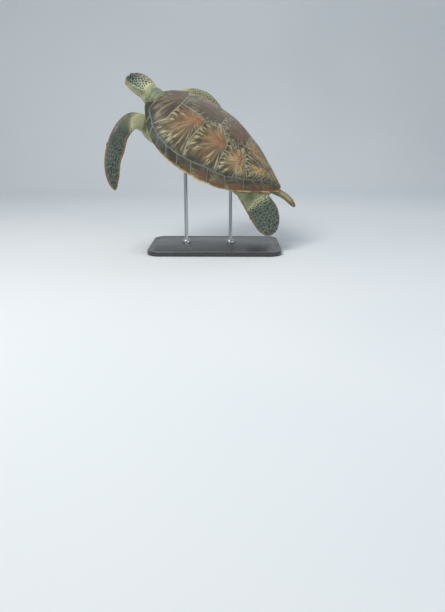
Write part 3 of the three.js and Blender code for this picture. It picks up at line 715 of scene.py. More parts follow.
def horn_material(name, rays, heart, middle, outer, streaks, worn_tones, seam_tone, lip_highlight):
    """Horn of a shell plate: a warm blotched heart, and tapering streaks that end before the seams.

    worn_tones are the dull horn of the plates that stay cool: ground, pale streak, dark streak, stain.
    """
    made, g, out = material(name, Roughness=.5, Specular_IOR_Level=.2, Coat_Roughness=.4)
    seam, lip, tone = g.split(g.attr("bounds"))
    warmth, rim_gap, gold = g.split(g.attr("side"))
    along, aside, reach = g.split(g.attr("fan"))
    warm = g.math("MAXIMUM", warmth, 0.0)
    shadow = g.attr("shadow", "Fac")
    streak = g.use(RAYS, Fan=g.attr("fan"), Seed=tone, Count=rays)
    grain = g.use(GRAIN, Vector=coordinates(g), Scale=190.0)
    thin, hair, bold, blotch = (streak[k] for k in ("Thin", "Hair", "Bold", "Blotch"))
    ahead = g.minus(g.times(aside, .7), g.times(along, .7))
    bias = g.step(ahead, -.8, .6, -.22, .10)
    far = g.plus(g.plus(reach, bias), g.times(g.minus(blotch, .5), .7))
    far = g.plus(far, g.times(g.minus(bold, .5), .5))
    limit = g.step(far, .2, 1.0, .69, .49)
    feather = g.plus(g.times(thin, .6), g.times(hair, .4))
    pale_streak = g.step(g.minus(feather, limit), -.02, .085)
    dark_streak = g.step(g.minus(g.minus(1.0, feather), limit), -.02, .08)
    core = g.mix(g.step(blotch, .36, .64), *heart)
    core = g.mix(g.times(gold, g.step(blotch, .62, .42)), core, srgb(190, 156, 104))
    brown = g.mix(g.step(bold, .38, .62), *middle)
    brown = g.mix(g.times(gold, g.step(bold, .44, .60, 0.1, .68)), brown, srgb(190, 182, 134))
    colour = g.mix(g.step(far, .16, .66), core, brown)
    colour = g.mix(g.step(far, .60, 1.05), colour, outer)
    colour = g.mix(g.times(g.step(hair, .42, .62), .28), colour, streaks[0])
    colour = g.mix(g.times(dark_streak, .6), colour, streaks[0])
    light = g.mix(g.step(hair, .35, .65), *streaks[1:])
    light = g.mix(g.times(gold, .45), light, srgb(220, 210, 156))
    colour = g.mix(g.times(pale_streak, g.fade(g.step(hair, .3, .6), .32, .76)), colour, light)
    plain, pale_tone, dark_tone, stain = worn_tones
    dull = g.mix(g.times(g.step(hair, .40, .62), .32), plain, dark_tone)
    dull = g.mix(g.times(g.step(thin, .56, .70), .30), dull, stain)
    dull = g.mix(g.times(pale_streak, .7), dull, pale_tone)
    dull = g.mix(g.times(dark_streak, .6), dull, dark_tone)
    dull = g.mix(g.step(blotch, .4, .65, 0.0, .4), dull, stain)
    colour = g.mix(g.step(warm, 1.0, .1, 0.0, .88), colour, dull)
    colour = g.mix(g.times(g.step(rim_gap, 22.0, 3.0), shadow), colour, srgb(50, 56, 48))
    colour = g.mix(g.step(seam, 8.0, 2.0, 0.0, .3), colour, srgb(64, 54, 44))
    colour = g.mix(g.step(grain["Broad"], .4, .8, 0.0, .2), colour, srgb(114, 116, 100))
    edge = g.plus(lip, g.times(grain["Fine"], 4.0))
    # painted highlight: pale gold along the outer lip, where the lit edge of the shell catches the light
    lip_highlight_mask = g.times(g.step(edge, 6.5, 3.0), g.fade(g.step(grain["Broad"], .38, .6), .3, 1.0))
    colour = g.mix(g.times(lip_highlight_mask, lip_highlight), colour, srgb(204, 170, 104))
    line = g.step(g.plus(seam, g.times(grain["Fine"], 1.8)), 3.4, 1.9)
    worn = g.fade(g.step(grain["Broad"], .32, .55), .45, .8)
    pale = g.mix(g.step(rim_gap, 3.0, 9.0), srgb(112, 121, 122), seam_tone)
    colour = g.mix(g.times(line, worn), colour, pale)
    under = g.mix(g.step(grain["Fine"], .3, .7), srgb(206, 196, 140), srgb(182, 170, 112))
    colour = g.mix(g.step(warmth, UNDERSIDE + .02, UNDERSIDE + .3), under, colour)
    g.put(out["Base Color"], colour)
    wear = g.times(grain["Fine"], .2)
    g.put(out["Roughness"], g.plus(g.plus(wear, .38), g.times(line, .2)))
    g.put(out["Coat Weight"], g.times(g.minus(1.0, line), .04))
    from_seam = g.plus(seam, g.times(grain["Broad"], 14.0))
    rings = g.math("SINE", g.times(from_seam, .55))
    height = g.plus(g.times(rings, .10), g.times(grain["Fine"], .4))
    height = g.plus(height, g.times(hair, .5))
    g.put(out["Normal"], relief(g, height, .45, .0009))
    return made


shield_horn = horn_material(
    "shell shield horn", rays=8.5, heart=(srgb(146, 101, 78), srgb(118, 83, 67)),
    middle=(srgb(110, 84, 66), srgb(140, 110, 82)), outer=srgb(80, 74, 58),
    streaks=(srgb(60, 58, 46), srgb(150, 140, 102), srgb(184, 178, 138)),
    worn_tones=(srgb(78, 73, 66), srgb(130, 127, 107), srgb(54, 55, 52), srgb(98, 79, 67)),
    seam_tone=srgb(156, 152, 142), lip_highlight=.75)
rim_horn = horn_material(
    "shell rim horn", rays=4.5, heart=(srgb(140, 88, 62), srgb(120, 78, 58)),
    middle=(srgb(110, 84, 62), srgb(126, 88, 64)), outer=srgb(88, 78, 62),
    streaks=(srgb(72, 64, 54), srgb(122, 104, 78), srgb(146, 128, 94)),
    worn_tones=(srgb(46, 56, 50), srgb(84, 90, 70), srgb(34, 42, 38), srgb(64, 60, 48)),
    seam_tone=srgb(122, 124, 117), lip_highlight=1.0)
shell_plates(shield_horn, rim_horn)

# ---------------------------------------------------------------- belly plate

# Where the belly plate starts along the shell and how far it runs, and its breadth along that run,
# as a share of the trunk's.
BELLY_FROM = .13
BELLY_RUN = .77
belly_half = profile((0, .3), (.08, .52), (.25, .66), (.4, .86), (.62, .88), (.78, .66), (.92, .5),
                     (1, .28))
# Seams across the belly plate, between its two ends.
BELLY_SEAMS = np.array([.085, .25, .46, .66, .84])
# Its outer face lies this far below the trunk's belly, its inner face this far above.
BELLY_OUT, BELLY_IN = .004, .007


def belly_horn():
    made, g, out = material("belly horn", Roughness=.45, Coat_Roughness=.3)
    seam, rim, _ = g.split(g.attr("bounds"))
    grain = g.use(GRAIN, Vector=coordinates(g), Scale=150.0)
    colour = g.mix(g.step(grain["Broad"], .3, .7), srgb(224, 208, 150), srgb(206, 184, 112))
    colour = g.mix(g.step(grain["Fine"], .55, .8, 0, .4), colour, srgb(184, 162, 104))
    line = g.step(g.plus(seam, grain["Fine"]), 3.2, 1.4, 0.0, .75)
    colour = g.mix(line, colour, srgb(150, 138, 104))
    colour = g.mix(g.step(rim, 12.0, 2.0, 0.0, .5), colour, srgb(176, 178, 140))
    g.put(out["Base Color"], colour)
    g.put(out["Roughness"], g.plus(g.times(grain["Fine"], .25), .3))
    g.put(out["Normal"], relief(g, grain["Fine"], .35, .0008))
    return made


def belly_seams(u, v):
    """Millimetres, more or less, from each point of the belly plate to its nearest seam."""
    ahead = np.abs(u[..., None] - BELLY_SEAMS - .012 * np.abs(v[..., None]))
    across = np.min(ahead, -1) * BELLY_RUN / MM
    middle = np.abs(v) * belly_half(u) * 200
    bridge = np.abs(np.abs(v) - .62 - .05 * np.sin(7 * u)) * 150
    bridge += 40 * ((smooth(u, .8, .7) < .5) | (u < .3))
    return np.minimum(np.minimum(across, middle), bridge)


def belly_plate():
    rows, columns = 150, 90
    u, v = np.meshgrid(np.linspace(0, 1, rows + 1), np.linspace(-1, 1, columns + 1), indexing="ij")
    s = BELLY_FROM + BELLY_RUN * u
    t = v * belly_half(u)
    seam = belly_seams(u, v)
    rim = np.minimum((1 - np.abs(v)) * 130, np.minimum(u, 1 - u) * BELLY_RUN / MM)
    puff = (-.9 * (1 - smooth(seam, 0, 4)) + .6 * smooth(seam, 2, 25) - 2.4 * (1 - smooth(rim, 0, 8)) ** 2)
    outer = belly_point(s, t, BELLY_OUT + puff * MM)
    inner = belly_point(s, t, -BELLY_IN)
    number = np.arange(u.size).reshape(u.shape)
    corners = number[:-1, :-1], number[1:, :-1], number[1:, 1:], number[:-1, 1:]
    quads = np.stack(corners, -1).reshape(-1, 4)
    loop = np.r_[number[:-1, 0], number[-1, :-1], number[:0:-1, -1], number[0, :0:-1]]
    ahead = np.roll(loop, -1)
    wall = np.c_[ahead, loop, loop + u.size, ahead + u.size]
    points = np.vstack([outer.reshape(-1, 3), inner.reshape(-1, 3)])
    obj = new_object("belly_shield", place(points), np.vstack([quads, quads[:, ::-1] + u.size, wall]))
    note(obj, "bounds", np.tile(np.c_[seam.ravel(), rim.ravel(), 0 * rim.ravel()], (2, 1)))
    outward(obj)
    soften(obj, 50)
    obj.data.materials.append(belly_horn())
    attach(obj, "root")
    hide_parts("plastron")


belly_plate()

# ---------------------------------------------------------------- head frame

# The head's frame has the same axes as the body's, turned, with the unit HEAD_SIZE: x runs from the
# nape to the tip of the beak. Half its width, its top and its underside, by x.
HEAD_SIZE = .21
HEAD_TIP = .955
HEAD_TURN = np.array(Matrix.Rotation(math.radians(-20), 3, "Z")
                     @ Matrix.Rotation(math.radians(10.5), 3, "Y")
                     @ Matrix.Rotation(math.radians(24), 3, "X"))
HEAD_AT = np.array((.503, 0, .054))
head_half = profile((-.16, 0), (-.1, .2), (.05, .3), (.2, .345), (.38, .35), (.55, .31), (.7, .245),
                    (.81, .175), (.885, .125), (.93, .085), (.948, .045), (HEAD_TIP, 0))
head_top = profile((-.16, .02), (-.1, .16), (.05, .27), (.25, .335), (.45, .345), (.62, .315),
                   (.745, .25), (.84, .175), (.9, .1), (.937, .035), (HEAD_TIP, -.03))
head_low = profile((-.16, 0), (-.1, -.17), (.05, -.25), (.3, -.285), (.5, -.275), (.7, -.25),
                   (.825, -.22), (.895, -.185), (.937, -.12), (HEAD_TIP, -.03))
EYE = np.array((.715, .155, .10))
EYE_SIZE = .019 / HEAD_SIZE


def eye_axis(sign):
    """The way the eye of one side looks."""
    out = np.array((.28, .95 * sign, .12))
    return out / np.linalg.norm(out)


def from_head(points):
    """Points of the head's own frame, unit HEAD_SIZE, to the body's frame."""
    return np.asarray(points) @ HEAD_TURN.T * HEAD_SIZE + HEAD_AT


def to_head(points):
    """Points of the body's frame to the head's own."""
    return (np.asarray(points) - HEAD_AT) @ HEAD_TURN / HEAD_SIZE


def head_section(swell=0.0):
    """Rings of the head, grown by swell, from a point inside the neck to the tip."""

    def section(along, angle):
        x = -.16 + (HEAD_TIP + .16) * np.sin(along * np.pi / 2) ** .9
        lift = np.sin(angle)
        ends = (along <= 0) | (along >= 1)
        wide = (head_half(x) + swell) * (1 - np.where(lift > 0, .16, .1) * lift ** 2)
        high = np.where(lift > 0, head_top(x) + swell, swell - head_low(x))
        y = wide * bend(np.cos(angle), .8)
        z = high * bend(lift, .85)
        y = np.where(ends, 0, y)
        z = np.where(ends, (head_top(x) + head_low(x)) / 2, z)
        return from_head(np.stack(np.broadcast_arrays(x + 0 * angle, y, z), -1))
    return section


# ---------------------------------------------------------------- limbs

# Breadth before and behind the spine, half thickness and camber, by share along the flipper. Then for
# each flipper the way to its leading edge at the root and towards the tip, and its spine; the right
# ones are written as if they were left ones.
FRONT = dict(
    lead=profile((0, .05), (.15, .055), (.3, .041), (.45, .043), (.6, .05), (.75, .045), (.9, .027),
                 (.97, .013), (1, 0)),
    trail=profile((0, .055), (.15, .068), (.3, .059), (.45, .059), (.6, .06), (.68, .051), (.8, .044),
                  (.92, .026), (.98, .012), (1, 0)),
    thick=profile((0, .04), (.2, .038), (.4, .026), (.6, .017), (.8, .0105), (1, .004)), camber=.004)
HIND = dict(
    lead=profile((0, .05), (.25, .074), (.5, .088), (.7, .09), (.85, .08), (.94, .056), (.985, .03),
                 (1, 0)),
    trail=profile((0, .05), (.25, .086), (.45, .108), (.65, .11), (.8, .095), (.92, .064), (.98, .034),
                  (1, 0)),
    thick=profile((0, .038), (.25, .034), (.5, .018), (.75, .0095), (1, .0045)), camber=-.006)
LIMBS = {
    "flipper_front_left": dict(FRONT, sign=1, root=(.62, -.55, .3), tip=(1, -.05, -.12), spine=[
        (.31, .12, -.05), (.425, .19, -.04), (.497, .305, -.012), (.506, .395, -.062),
        (.484, .452, -.118), (.445, .522, -.18), (.39, .583, -.232), (.345, .62, -.261)]),
    "flipper_front_right": dict(FRONT, sign=-1, root=(.62, .1, .3), tip=(.3, .85, .4), spine=[
        (.3, .12, -.05), (.375, .24, -.04), (.355, .345, -.012), (.3, .41, .012),
        (.225, .455, .012), (.14, .495, -.018), (.05, .53, -.07), (-.025, .555, -.12)]),
    "flipper_hind_left": dict(HIND, sign=1, root=(.6, .7, -.2), tip=(.78, .46, -.36), spine=[
        (-.25, .1, -.055), (-.336, .151, -.058), (-.422, .1865, -.068), (-.508, .222, -.094),
        (-.602, .272, -.143)]),
    "flipper_hind_right": dict(HIND, sign=-1, root=(.6, .7, -.1), tip=(.8, .1, -.6), spine=[
        (-.25, .1, -.055), (-.32, .16, -.085), (-.37, .21, -.14), (-.42, .26, -.21),
        (-.475, .31, -.285)]),
}


class Limb:
    """One flipper: its spine, and at each share of it the way to the leading edge and the upper face."""

    def __init__(self, spec):
        self.spec = spec
        flip = np.array((1, spec["sign"], 1))
        self.at, self.aim = spline(np.array(spec["spine"]) * flip)
        self.root = np.array(spec["root"]) * flip / np.linalg.norm(spec["root"])
        self.tip = np.array(spec["tip"]) * flip / np.linalg.norm(spec["tip"])

    def axes(self, a):
        aim = self.aim(a)
        f = smooth(a, .05, .5)[..., None]
        chord = self.root * (1 - f) + self.tip * f
        chord = chord - (chord * aim).sum(-1, keepdims=True) * aim
        chord /= np.linalg.norm(chord, axis=-1, keepdims=True)
        return aim, chord, np.cross(chord, aim) * self.spec["sign"]

    def section(self, along, angle):
        spec = self.spec
        a = np.sin(along * np.pi / 2) ** .85
        _, chord, normal = self.axes(a)
        across = np.cos(angle)
        edge = np.where(across > 0, spec["lead"](a), spec["trail"](a))
        closed = (along <= 0) | (along >= 1)
        body = np.maximum(spec["thick"](a), .0046) * (1 + .45 * across)
        fingers = 1 + .05 * smooth(a, .45, .7) * np.sin(across * 16) * (np.abs(across) < .85)
        arch = spec["camber"] * (1 - across ** 2) * a
        e = np.where(closed, 0, edge * bend(across, .9))[..., None]
        h = np.where(closed, 0, body * fingers * bend(np.sin(angle), .75) + arch)[..., None]
        return self.at(a) + chord * e + normal * h

    def locate(self, points):
        """Share along, distance from the leading edge (minus below), chord share, and if it is above."""
        a = np.linspace(0, 1, 240)
        spine = self.at(a)
        near = np.empty(len(points), int)
        for k in range(0, len(points), 4000):
            part = points[k:k + 4000]
            near[k:k + 4000] = ((part[:, None, :] - spine[None]) ** 2).sum(-1).argmin(1)
        aim, chord, normal = self.axes(a)
        off = points - spine[near]
        share = np.clip(a[near] + (off * aim[near]).sum(1) / self.length(), 0, 1)
        c = (off * chord[near]).sum(1)
        lead = self.spec["lead"](share)
        trail = self.spec["trail"](share)
        width = np.maximum(lead + trail, .01)
        bow = np.clip(c / np.maximum(np.where(c > 0, lead, trail), .01), -1, 1)
        n = (off * normal[near]).sum(1) - self.spec["camber"] * (1 - bow ** 2) * share
        back = np.clip(lead - c, 0, None)
        return share, back * np.where(n >= 0, 1, -1), np.clip(back / width, 0, 1), n >= 0

    def length(self):
        p = self.at(np.linspace(0, 1, 100))
        return np.linalg.norm(np.diff(p, axis=0), axis=1).sum()


limbs = {name: Limb(spec) for name, spec in LIMBS.items()}

# ---------------------------------------------------------------- skin

neck_at, neck_aim = spline([(.33, 0, -.03), (.431, -.003, .023), (.541, -.01, .049)])
neck_wide = profile((0, 0), (.06, .09), (.35, .1), (.7, .078), (.94, .068), (1, 0))
neck_high = profile((0, 0), (.06, .07), (.35, .078), (.7, .064), (.94, .052), (1, 0))
tail_at, tail_aim = spline([(-.36, 0, -.04), (-.47, 0, -.019), (-.565, 0, -.01), (-.6533, 0, -.0325)])
tail_size = profile((0, .042), (.4, .028), (.6, .026), (.8, .023), (.93, .016), (.985, .009), (1, 0))


def tube_section(at, aim, wide, high):
    """Rings round a curve, with half width and half height by share along it."""

    def section(along, angle):
        a = along + 0 * angle
        axis = aim(a)
        left = np.cross(np.array((0, 0, 1.0)), axis)
        left /= np.linalg.norm(left, axis=-1, keepdims=True)
        up = np.cross(axis, left)
        aside, rise = wide(a) * np.cos(angle), high(a) * np.sin(angle)
        return at(a) + left * aside[..., None] + up * rise[..., None]
    return section


def trunk_section(along, angle):
    """Rings of the trunk, between the underside of the shell plates and the belly."""
    s = .05 + .9 * along + 0 * angle
    ends = (along <= 0) | (along >= 1)
    t = np.where(ends, 0, np.cos(angle) * np.sin(np.clip(along, .02, .98) * np.pi) ** .12)
    upper = shell_point(s, TRUNK_SHARE * t, -shell_depth(TRUNK_SHARE * t) - .0035)
    lower = belly_point(s, t)
    around = np.where((np.sin(angle) >= 0)[..., None], upper, lower)
    return np.where(ends[..., None], (upper + lower) / 2, around)


def ball_section(centre, radii, turn):
    """Rings of a flattened ball, turned about the upright axis, for the muscle at a joint."""
    c, w = math.cos(turn), math.sin(turn)
    spin = np.array(((c, -w, 0), (w, c, 0), (0, 0, 1)))

    def section(along, angle):
        polar = along * np.pi + 0 * angle
        p = np.stack([np.sin(polar) * np.cos(angle), np.cos(polar), np.sin(polar) * np.sin(angle)], -1)
        return p * radii @ spin.T + centre
    return section


def rough_body():
    """All flesh as closed lofts, ready to be fused into one skin."""
    parts = [loft(90, 96, trunk_section),
             loft(40, 72, tube_section(neck_at, neck_aim, neck_wide, neck_high)),
             loft(80, 84, head_section(-.002)),
             loft(50, 40, tube_section(tail_at, tail_aim, tail_size, lambda a: .85 * tail_size(a)))]
    for sign in (1, -1):
        parts.append(loft(32, 40, ball_section((.34, .155 * sign, -.055), (.115, .105, .06), .3 * sign)))
        parts.append(loft(32, 40, ball_section((-.29, .14 * sign, -.05), (.11, .09, .045), .5 * sign)))
    parts.append(loft(32, 40, ball_section((.355, 0, -.04), (.09, .14, .062), 0)))
    parts += [loft(130, 56, limb.section) for limb in limbs.values()]
    verts, faces, base = [], [], 0
    for part_verts, part_faces in parts:
        verts.append(part_verts)
        faces += [tuple(i + base for i in f) for f in part_faces]
        base += len(part_verts)
    obj = new_object("turtle_skin", place(np.vstack(verts)), faces)
    bm = bmesh.new()
    bm.from_mesh(obj.data)
    bmesh.ops.recalc_face_normals(bm, faces=bm.faces)
    bm.to_mesh(obj.data)
    bm.free()
    return obj


def apply(obj, kind, **settings):
    """Adds a modifier and applies it."""
    bpy.context.view_layer.objects.active = obj
    changer = obj.modifiers.new(kind.lower(), kind)
    for key, value in settings.items():
        setattr(changer, key, value)
    bpy.ops.object.modifier_apply(modifier=changer.name)


def weigh(obj, name, weights):
    """Stores weights in steps of a tenth as a vertex group, and gives its name."""
    members = obj.vertex_groups.new(name=name)
    levels = np.round(np.clip(weights, 0, 1) * 10) / 10
    for level in np.unique(levels):
        members.add([int(i) for i in np.flatnonzero(levels == level)], float(level), "REPLACE")
    return name


def cut_and_cap(obj, hidden):
    """Deletes the faces whose corners are all hidden, closes the holes and tells which points stayed."""
    bm = bmesh.new()
    bm.from_mesh(obj.data)
    doomed = [f for f in bm.faces if all(hidden[v.index] for v in f.verts)]
    number = bm.verts.layers.int.new("was")
    for v in bm.verts:
        v[number] = v.index
    bmesh.ops.delete(bm, geom=doomed, context="FACES")
    bmesh.ops.holes_fill(bm, edges=[e for e in bm.edges if e.is_boundary], sides=0)
    stayed = [v[number] for v in bm.verts]
    bm.verts.layers.int.remove(number)
    bmesh.ops.triangulate(bm, faces=[f for f in bm.faces if len(f.verts) > 4])
    bm.to_mesh(obj.data)
    bm.free()
    return stayed


def cap_hidden(obj):
    """Takes away skin that the shell and the belly plate cover, and closes the rest with plain caps."""
    body = unplace(co(obj))
    s = .5 - body[:, 0]
    on_shell = np.clip(s, 0, 1)
    t = np.abs(body[:, 1]) / half_width(on_shell)
    top = (body[:, 2] > rim_height(on_shell) - .004) & (s > .13) & (s < .9) & (t < .74)
    u = (s - BELLY_FROM) / BELLY_RUN
    share = t / TRUNK_SHARE
    under = (body[:, 2] < -.04) & (u > .06) & (u < .94) & (share < belly_half(np.clip(u, 0, 1)) - .12)
    under &= np.abs(body[:, 2] - belly_point(on_shell, np.clip(share, 0, 1))[:, 2]) < .006
    stayed = cut_and_cap(obj, top)
    cut_and_cap(obj, under[stayed])


# What the fused skin is thinned to, before the face is refined.
SKIN_TRIANGLES = 118000


def fuse(obj):
    """One closed skin from the rough parts: fused, joints softened, thinned where it is plain."""
    apply(obj, "REMESH", mode="VOXEL", voxel_size=.0023, use_smooth_shade=True)
    cap_hidden(obj)
    body = unplace(co(obj))
    joints = [(.34, .2, -.05), (.34, -.2, -.05), (-.28, .15, -.05), (-.28, -.15, -.05), (.42, 0, 0),
              (.42, .13, -.02), (.42, -.13, -.02), (-.42, 0, -.04)]
    soft = np.zeros(len(body))
    for joint in joints:
        soft = np.maximum(soft, 1 - smooth(np.linalg.norm(body - joint, axis=1), .11, .2))
    crown = np.linalg.norm(to_head(body) - (.1, 0, 0), axis=1)
    soft = np.maximum(soft, .9 * (1 - smooth(crown, .32, .5)))
    apply(obj, "SMOOTH", factor=.5, iterations=55, vertex_group=weigh(obj, "joints", soft))
    apply(obj, "SMOOTH", factor=.5, iterations=3)
    head = to_head(unplace(co(obj)))
    keep = (head[:, 0] > .05) & (np.abs(head[:, 1]) < .5) & (np.abs(head[:, 2]) < .5)
    apply(obj, "TRIANGULATE")
    apply(obj, "DECIMATE", ratio=min(1, SKIN_TRIANGLES / len(obj.data.polygons)),
          vertex_group=weigh(obj, "plain", 1 - keep), use_collapse_triangulate=True)
    obj.vertex_groups.clear()


def refine_head(obj):
    """Finer triangles on the face, for lids, nostrils and mouth."""
    head = to_head(unplace(co(obj)))
    chosen = (head[:, 0] > .42) & (np.abs(head[:, 1]) < .5) & (np.abs(head[:, 2]) < .5)
    bm = bmesh.new()
    bm.from_mesh(obj.data)
    edges = [e for e in bm.edges if all(chosen[v.index] for v in e.verts)]
    bmesh.ops.subdivide_edges(bm, edges=edges, cuts=1, use_grid_fill=True, smooth=0)
    bmesh.ops.triangulate(bm, faces=[f for f in bm.faces if len(f.verts) > 3])
    bm.to_mesh(obj.data)
    bm.free()


def raise_lids(head, sign):
    """Draws the skin over one eyeball: lids with a slit between them, and the folds round them."""
    out = eye_axis(sign)
    fore = np.array((1, 0, 0)) - out * out[0]
    fore /= np.linalg.norm(fore)
    up = np.cross(fore, out) * -sign
    up *= np.sign(up[2])
    centre = EYE * (1, sign, 1)
    off = head - centre
    dist = np.linalg.norm(off, axis=1)
    ray = off / np.maximum(dist, 1e-6)[:, None]
    facing, ahead, above = ray @ out, ray @ fore, ray @ up
    corner = .7
    from_slit = np.abs(above + .05 * ahead)
    slit = .44 * np.sqrt(np.clip(1 - (ahead / corner) ** 2, 0, 1))
    rim = from_slit / np.maximum(slit, 1e-3)
    inside = (np.abs(ahead) < corner) & (rim < 1) & (facing > 0)
    gap = np.where(np.abs(ahead) < corner, from_slit - slit, np.hypot(np.abs(ahead) - corner, above))
    folds = .045 * np.sin(np.clip(gap, 0, .5) * 26) * smooth(gap, .06, .14) * (1 - smooth(gap, .3, .5))
    lid = EYE_SIZE * (1.05 + .13 * smooth(gap, -.02, .09) + folds)
    target = np.where(inside, EYE_SIZE * (.9 - .1 * smooth(1 - rim, 0, .4)), lid)
    hold = smooth(facing, .35, .72)
    new = np.where((facing > .2) & (dist < .3), dist * (1 - hold) + target * hold, dist)
    return centre + ray * new[:, None]


def sculpt_head(obj):
    """Lids round the eyes, brow, nostrils, mouth line and the folds of the neck."""
    body = unplace(co(obj))
    head = to_head(body)
    for sign in (1, -1):
        head = raise_lids(head, sign)
    x, y, z = head.T
    side = np.abs(y)
    brow = np.exp(-((x - .69) / .1) ** 2 - ((z - .235) / .045) ** 2) * smooth(side, .08, .15)
    head[:, 2] += .012 * brow
    hollow = np.exp(-((x - .83) / .06) ** 2 - ((z - .05) / .05) ** 2) * smooth(side, .06, .1)
    head[:, 1] -= np.sign(y) * .012 * hollow
    for sign in (1, -1):
        pit = np.exp(-(((x - .915) / .016) ** 2 + ((y - .04 * sign) / .012) ** 2 + ((z - .07) / .02) ** 2))
        head -= pit[:, None] * np.array((.016, .010 * sign, .016))
    level = np.interp(x, (.40, .46, .6, .74, .9, 1.1), (-.2, -.14, -.15, -.125, -.1, -.1))
    groove = np.exp(-((z - level) / .011) ** 2) * smooth(side, .02, .05) * smooth(x, .41, .47)
    head[:, 1] -= np.sign(y) * .016 * groove
    cheek = np.exp(-((x - .36) / .14) ** 2 - ((z + .12) / .1) ** 2) * smooth(side, .15, .25)
    head[:, 1] += np.sign(y) * .012 * cheek
    changed = from_head(head)
    on_face = (to_head(body)[:, 0] > .2)[:, None]
    body = np.where(on_face, changed, body)
    # loose folds across the neck
    back = to_head(body)[:, 0]
    band = smooth(back, .05, -.12) * smooth(body[:, 0], .36, .42) * (np.abs(body[:, 1]) < .14)
    normal = normals(obj) @ SPIN
    wave = np.sin(back * 62 + 5 * body[:, 1] + 2 * np.sin(body[:, 2] * 30))
    body += normal * (band * wave * .0022)[:, None]
    set_co(obj, place(body))


HEAD_PLATES = [  # along, out to the side, up: centres of the horny plates on the head
    (.90, .035, .16), (.81, .055, .22), (.72, 0, .29), (.67, .12, .28), (.57, 0, .33), (.49, .09, .34),
    (.52, .19, .27), (.36, .1, .34), (.3, 0, .34), (.21, .09, .31), (.22, .2, .24), (.37, .21, .26),
    (.11, .0, .3), (.1, .13, .26), (.64, .25, -.06), (.74, .22, -.04), (.84, .17, 0), (.81, .13, .16),
    (.93, .1, .02), (.98, 0, .06)]


def head_plate_seeds():
    """Centres of the head's plates: the big ones listed, the small cheek ones in loose rows."""
    seeds = [(a, b * sign, c) for a, b, c in HEAD_PLATES for sign in ((1, -1) if b > 0 else (1,))]
    pitch = .082
    for row, x in enumerate(np.arange(.05, .62, pitch * .88)):
        for z in np.arange(-.13 + .5 * pitch * (row % 2), .27, pitch):
            jitter = rng.uniform(-.2, .2, 3) * pitch
            for sign in (1, -1):
                wide = float(head_half(x)) * (1 - .16 * max(z / .33, 0) ** 2)
                wide *= math.sqrt(max(1 - (z / .34) ** 2, .1))
                seeds.append((x + jitter[0], wide * sign, z + jitter[1]))
    return np.array(seeds)


# Share along a flipper at which its horny scales start, by whether it is a front one.
FLIPPER_START = {True: .21, False: .26}
# Share along a flipper, and how long and how broad its scales are there.
FRONT_SCALES = np.array([(.2, .0100, .0095), (.36, .0125, .0118), (.5, .0155, .0135),
                         (.7, .0260, .0125), (.85, .0500, .0105), (1, .0600, .0100)]).T
HIND_SCALES = np.array([(.25, .0110, .0100), (.45, .0165, .0145), (.65, .0235, .0210),
                        (.85, .0260, .0225), (1, .0300, .0210)]).T
# The scales of the trunk are all of one size.
TRUNK_SCALE = .011
# Keeps the pattern of each flipper, and that of the trunk, away from the others.
PATTERN_APART = 60.0
TRUNK_PATTERN = 40.0


def nearest_flipper(body):
    """Number of the flipper whose surface lies close to each point, or -1."""
    along, angle = np.meshgrid(np.linspace(.02, 1, 120), np.linspace(-np.pi, np.pi, 56, endpoint=False),
                               indexing="ij")
    tree = KDTree(along.size * len(limbs))
    for number, limb in enumerate(limbs.values()):
        for k, p in enumerate(limb.section(along, angle).reshape(-1, 3)):
            tree.insert(Vector(p), number * along.size + k)
    tree.balance()
    found = np.array([tree.find(Vector(p))[1:] for p in body], float)
    return np.where(found[:, 1] < .012, found[:, 0] // along.size, -1)


def mark_flipper(marks, mine, name, limb, spot):
    """Scales that lengthen to the tip, pale root, dark upper side and rust along the edges."""
    share, back, chord, upper = spot
    front = "front" in name
    start = FLIPPER_START[front]
    at, long_step, wide_step = FRONT_SCALES if front else HIND_SCALES
    table = np.linspace(0, 1, 400)
    counted = np.cumsum(limb.length() / 399 / np.interp(table, at, long_step))
    marks["cells"][mine] = np.c_[np.interp(share, table, counted), back / np.interp(share, at, wide_step),
                                 0 * share]
    if front:
        grown = smooth(share + .18 * (.5 - chord), start, start + .15)
        cream = .75 * smooth(share, start - .12, start) * (1 - smooth(share, start + .1, start + .2))
        plain = 1 - grown
        # on the front arm the olive is partly the shoulder's greyish-olive skin and partly painted shade
        # near the shell
        olive = .6 * smooth(share, .02, .12)
    else:
        grown = smooth(share, .42 - .24 * chord, .56 + .06 * chord) * .86
        cream = .75 * smooth(chord, .3, .7) * (1 - smooth(share, .4, .62))
        plain = (1 - grown) * (1 - .8 * smooth(share, .26, .34))
        olive = smooth(share, .24, .34)
    rim = np.minimum(chord, 1 - chord)
    upper_share = np.where(upper, 1.0, .3 * smooth(share, .45, .75))
    marks["dark"][mine] = grown * upper_share * (.5 if name == "flipper_front_right" else 1)
    pale = marks["pale"][mine]
    below = pale + (1 - .35 * grown - pale) * smooth(share, .04, start)
    marks["pale"][mine] = np.where(upper, np.maximum(pale * plain, cream), below)
    marks["olive"][mine] = upper * smooth(rim, 0, .15) * (1 - grown) * (1 - cream) * olive
    width = limb.spec["lead"](share) + limb.spec["trail"](share)
    edge = np.minimum(rim * width, (1 - share) * limb.length()) / MM
    marks["rust"][mine] = (1 - smooth(edge, 2, 11)) * smooth(share, start + .08, start + .25)


def mark_flippers(body, marks):
    """Marks the skin of every flipper, each with a scale pattern of its own."""
    near = nearest_flipper(body)
    near[to_head(body)[:, 0] >= -.02] = -1
    for number, (name, limb) in enumerate(limbs.items()):
        mine = np.flatnonzero(near == number)
        spot = limb.locate(body[mine])
        held = spot[0] > (.02 if "front" in name else FLIPPER_START[False] - .06)
        mine = mine[held]
        mark_flipper(marks, mine, name, limb, [part[held] for part in spot])
        marks["cells"][mine, 0] += PATTERN_APART * number


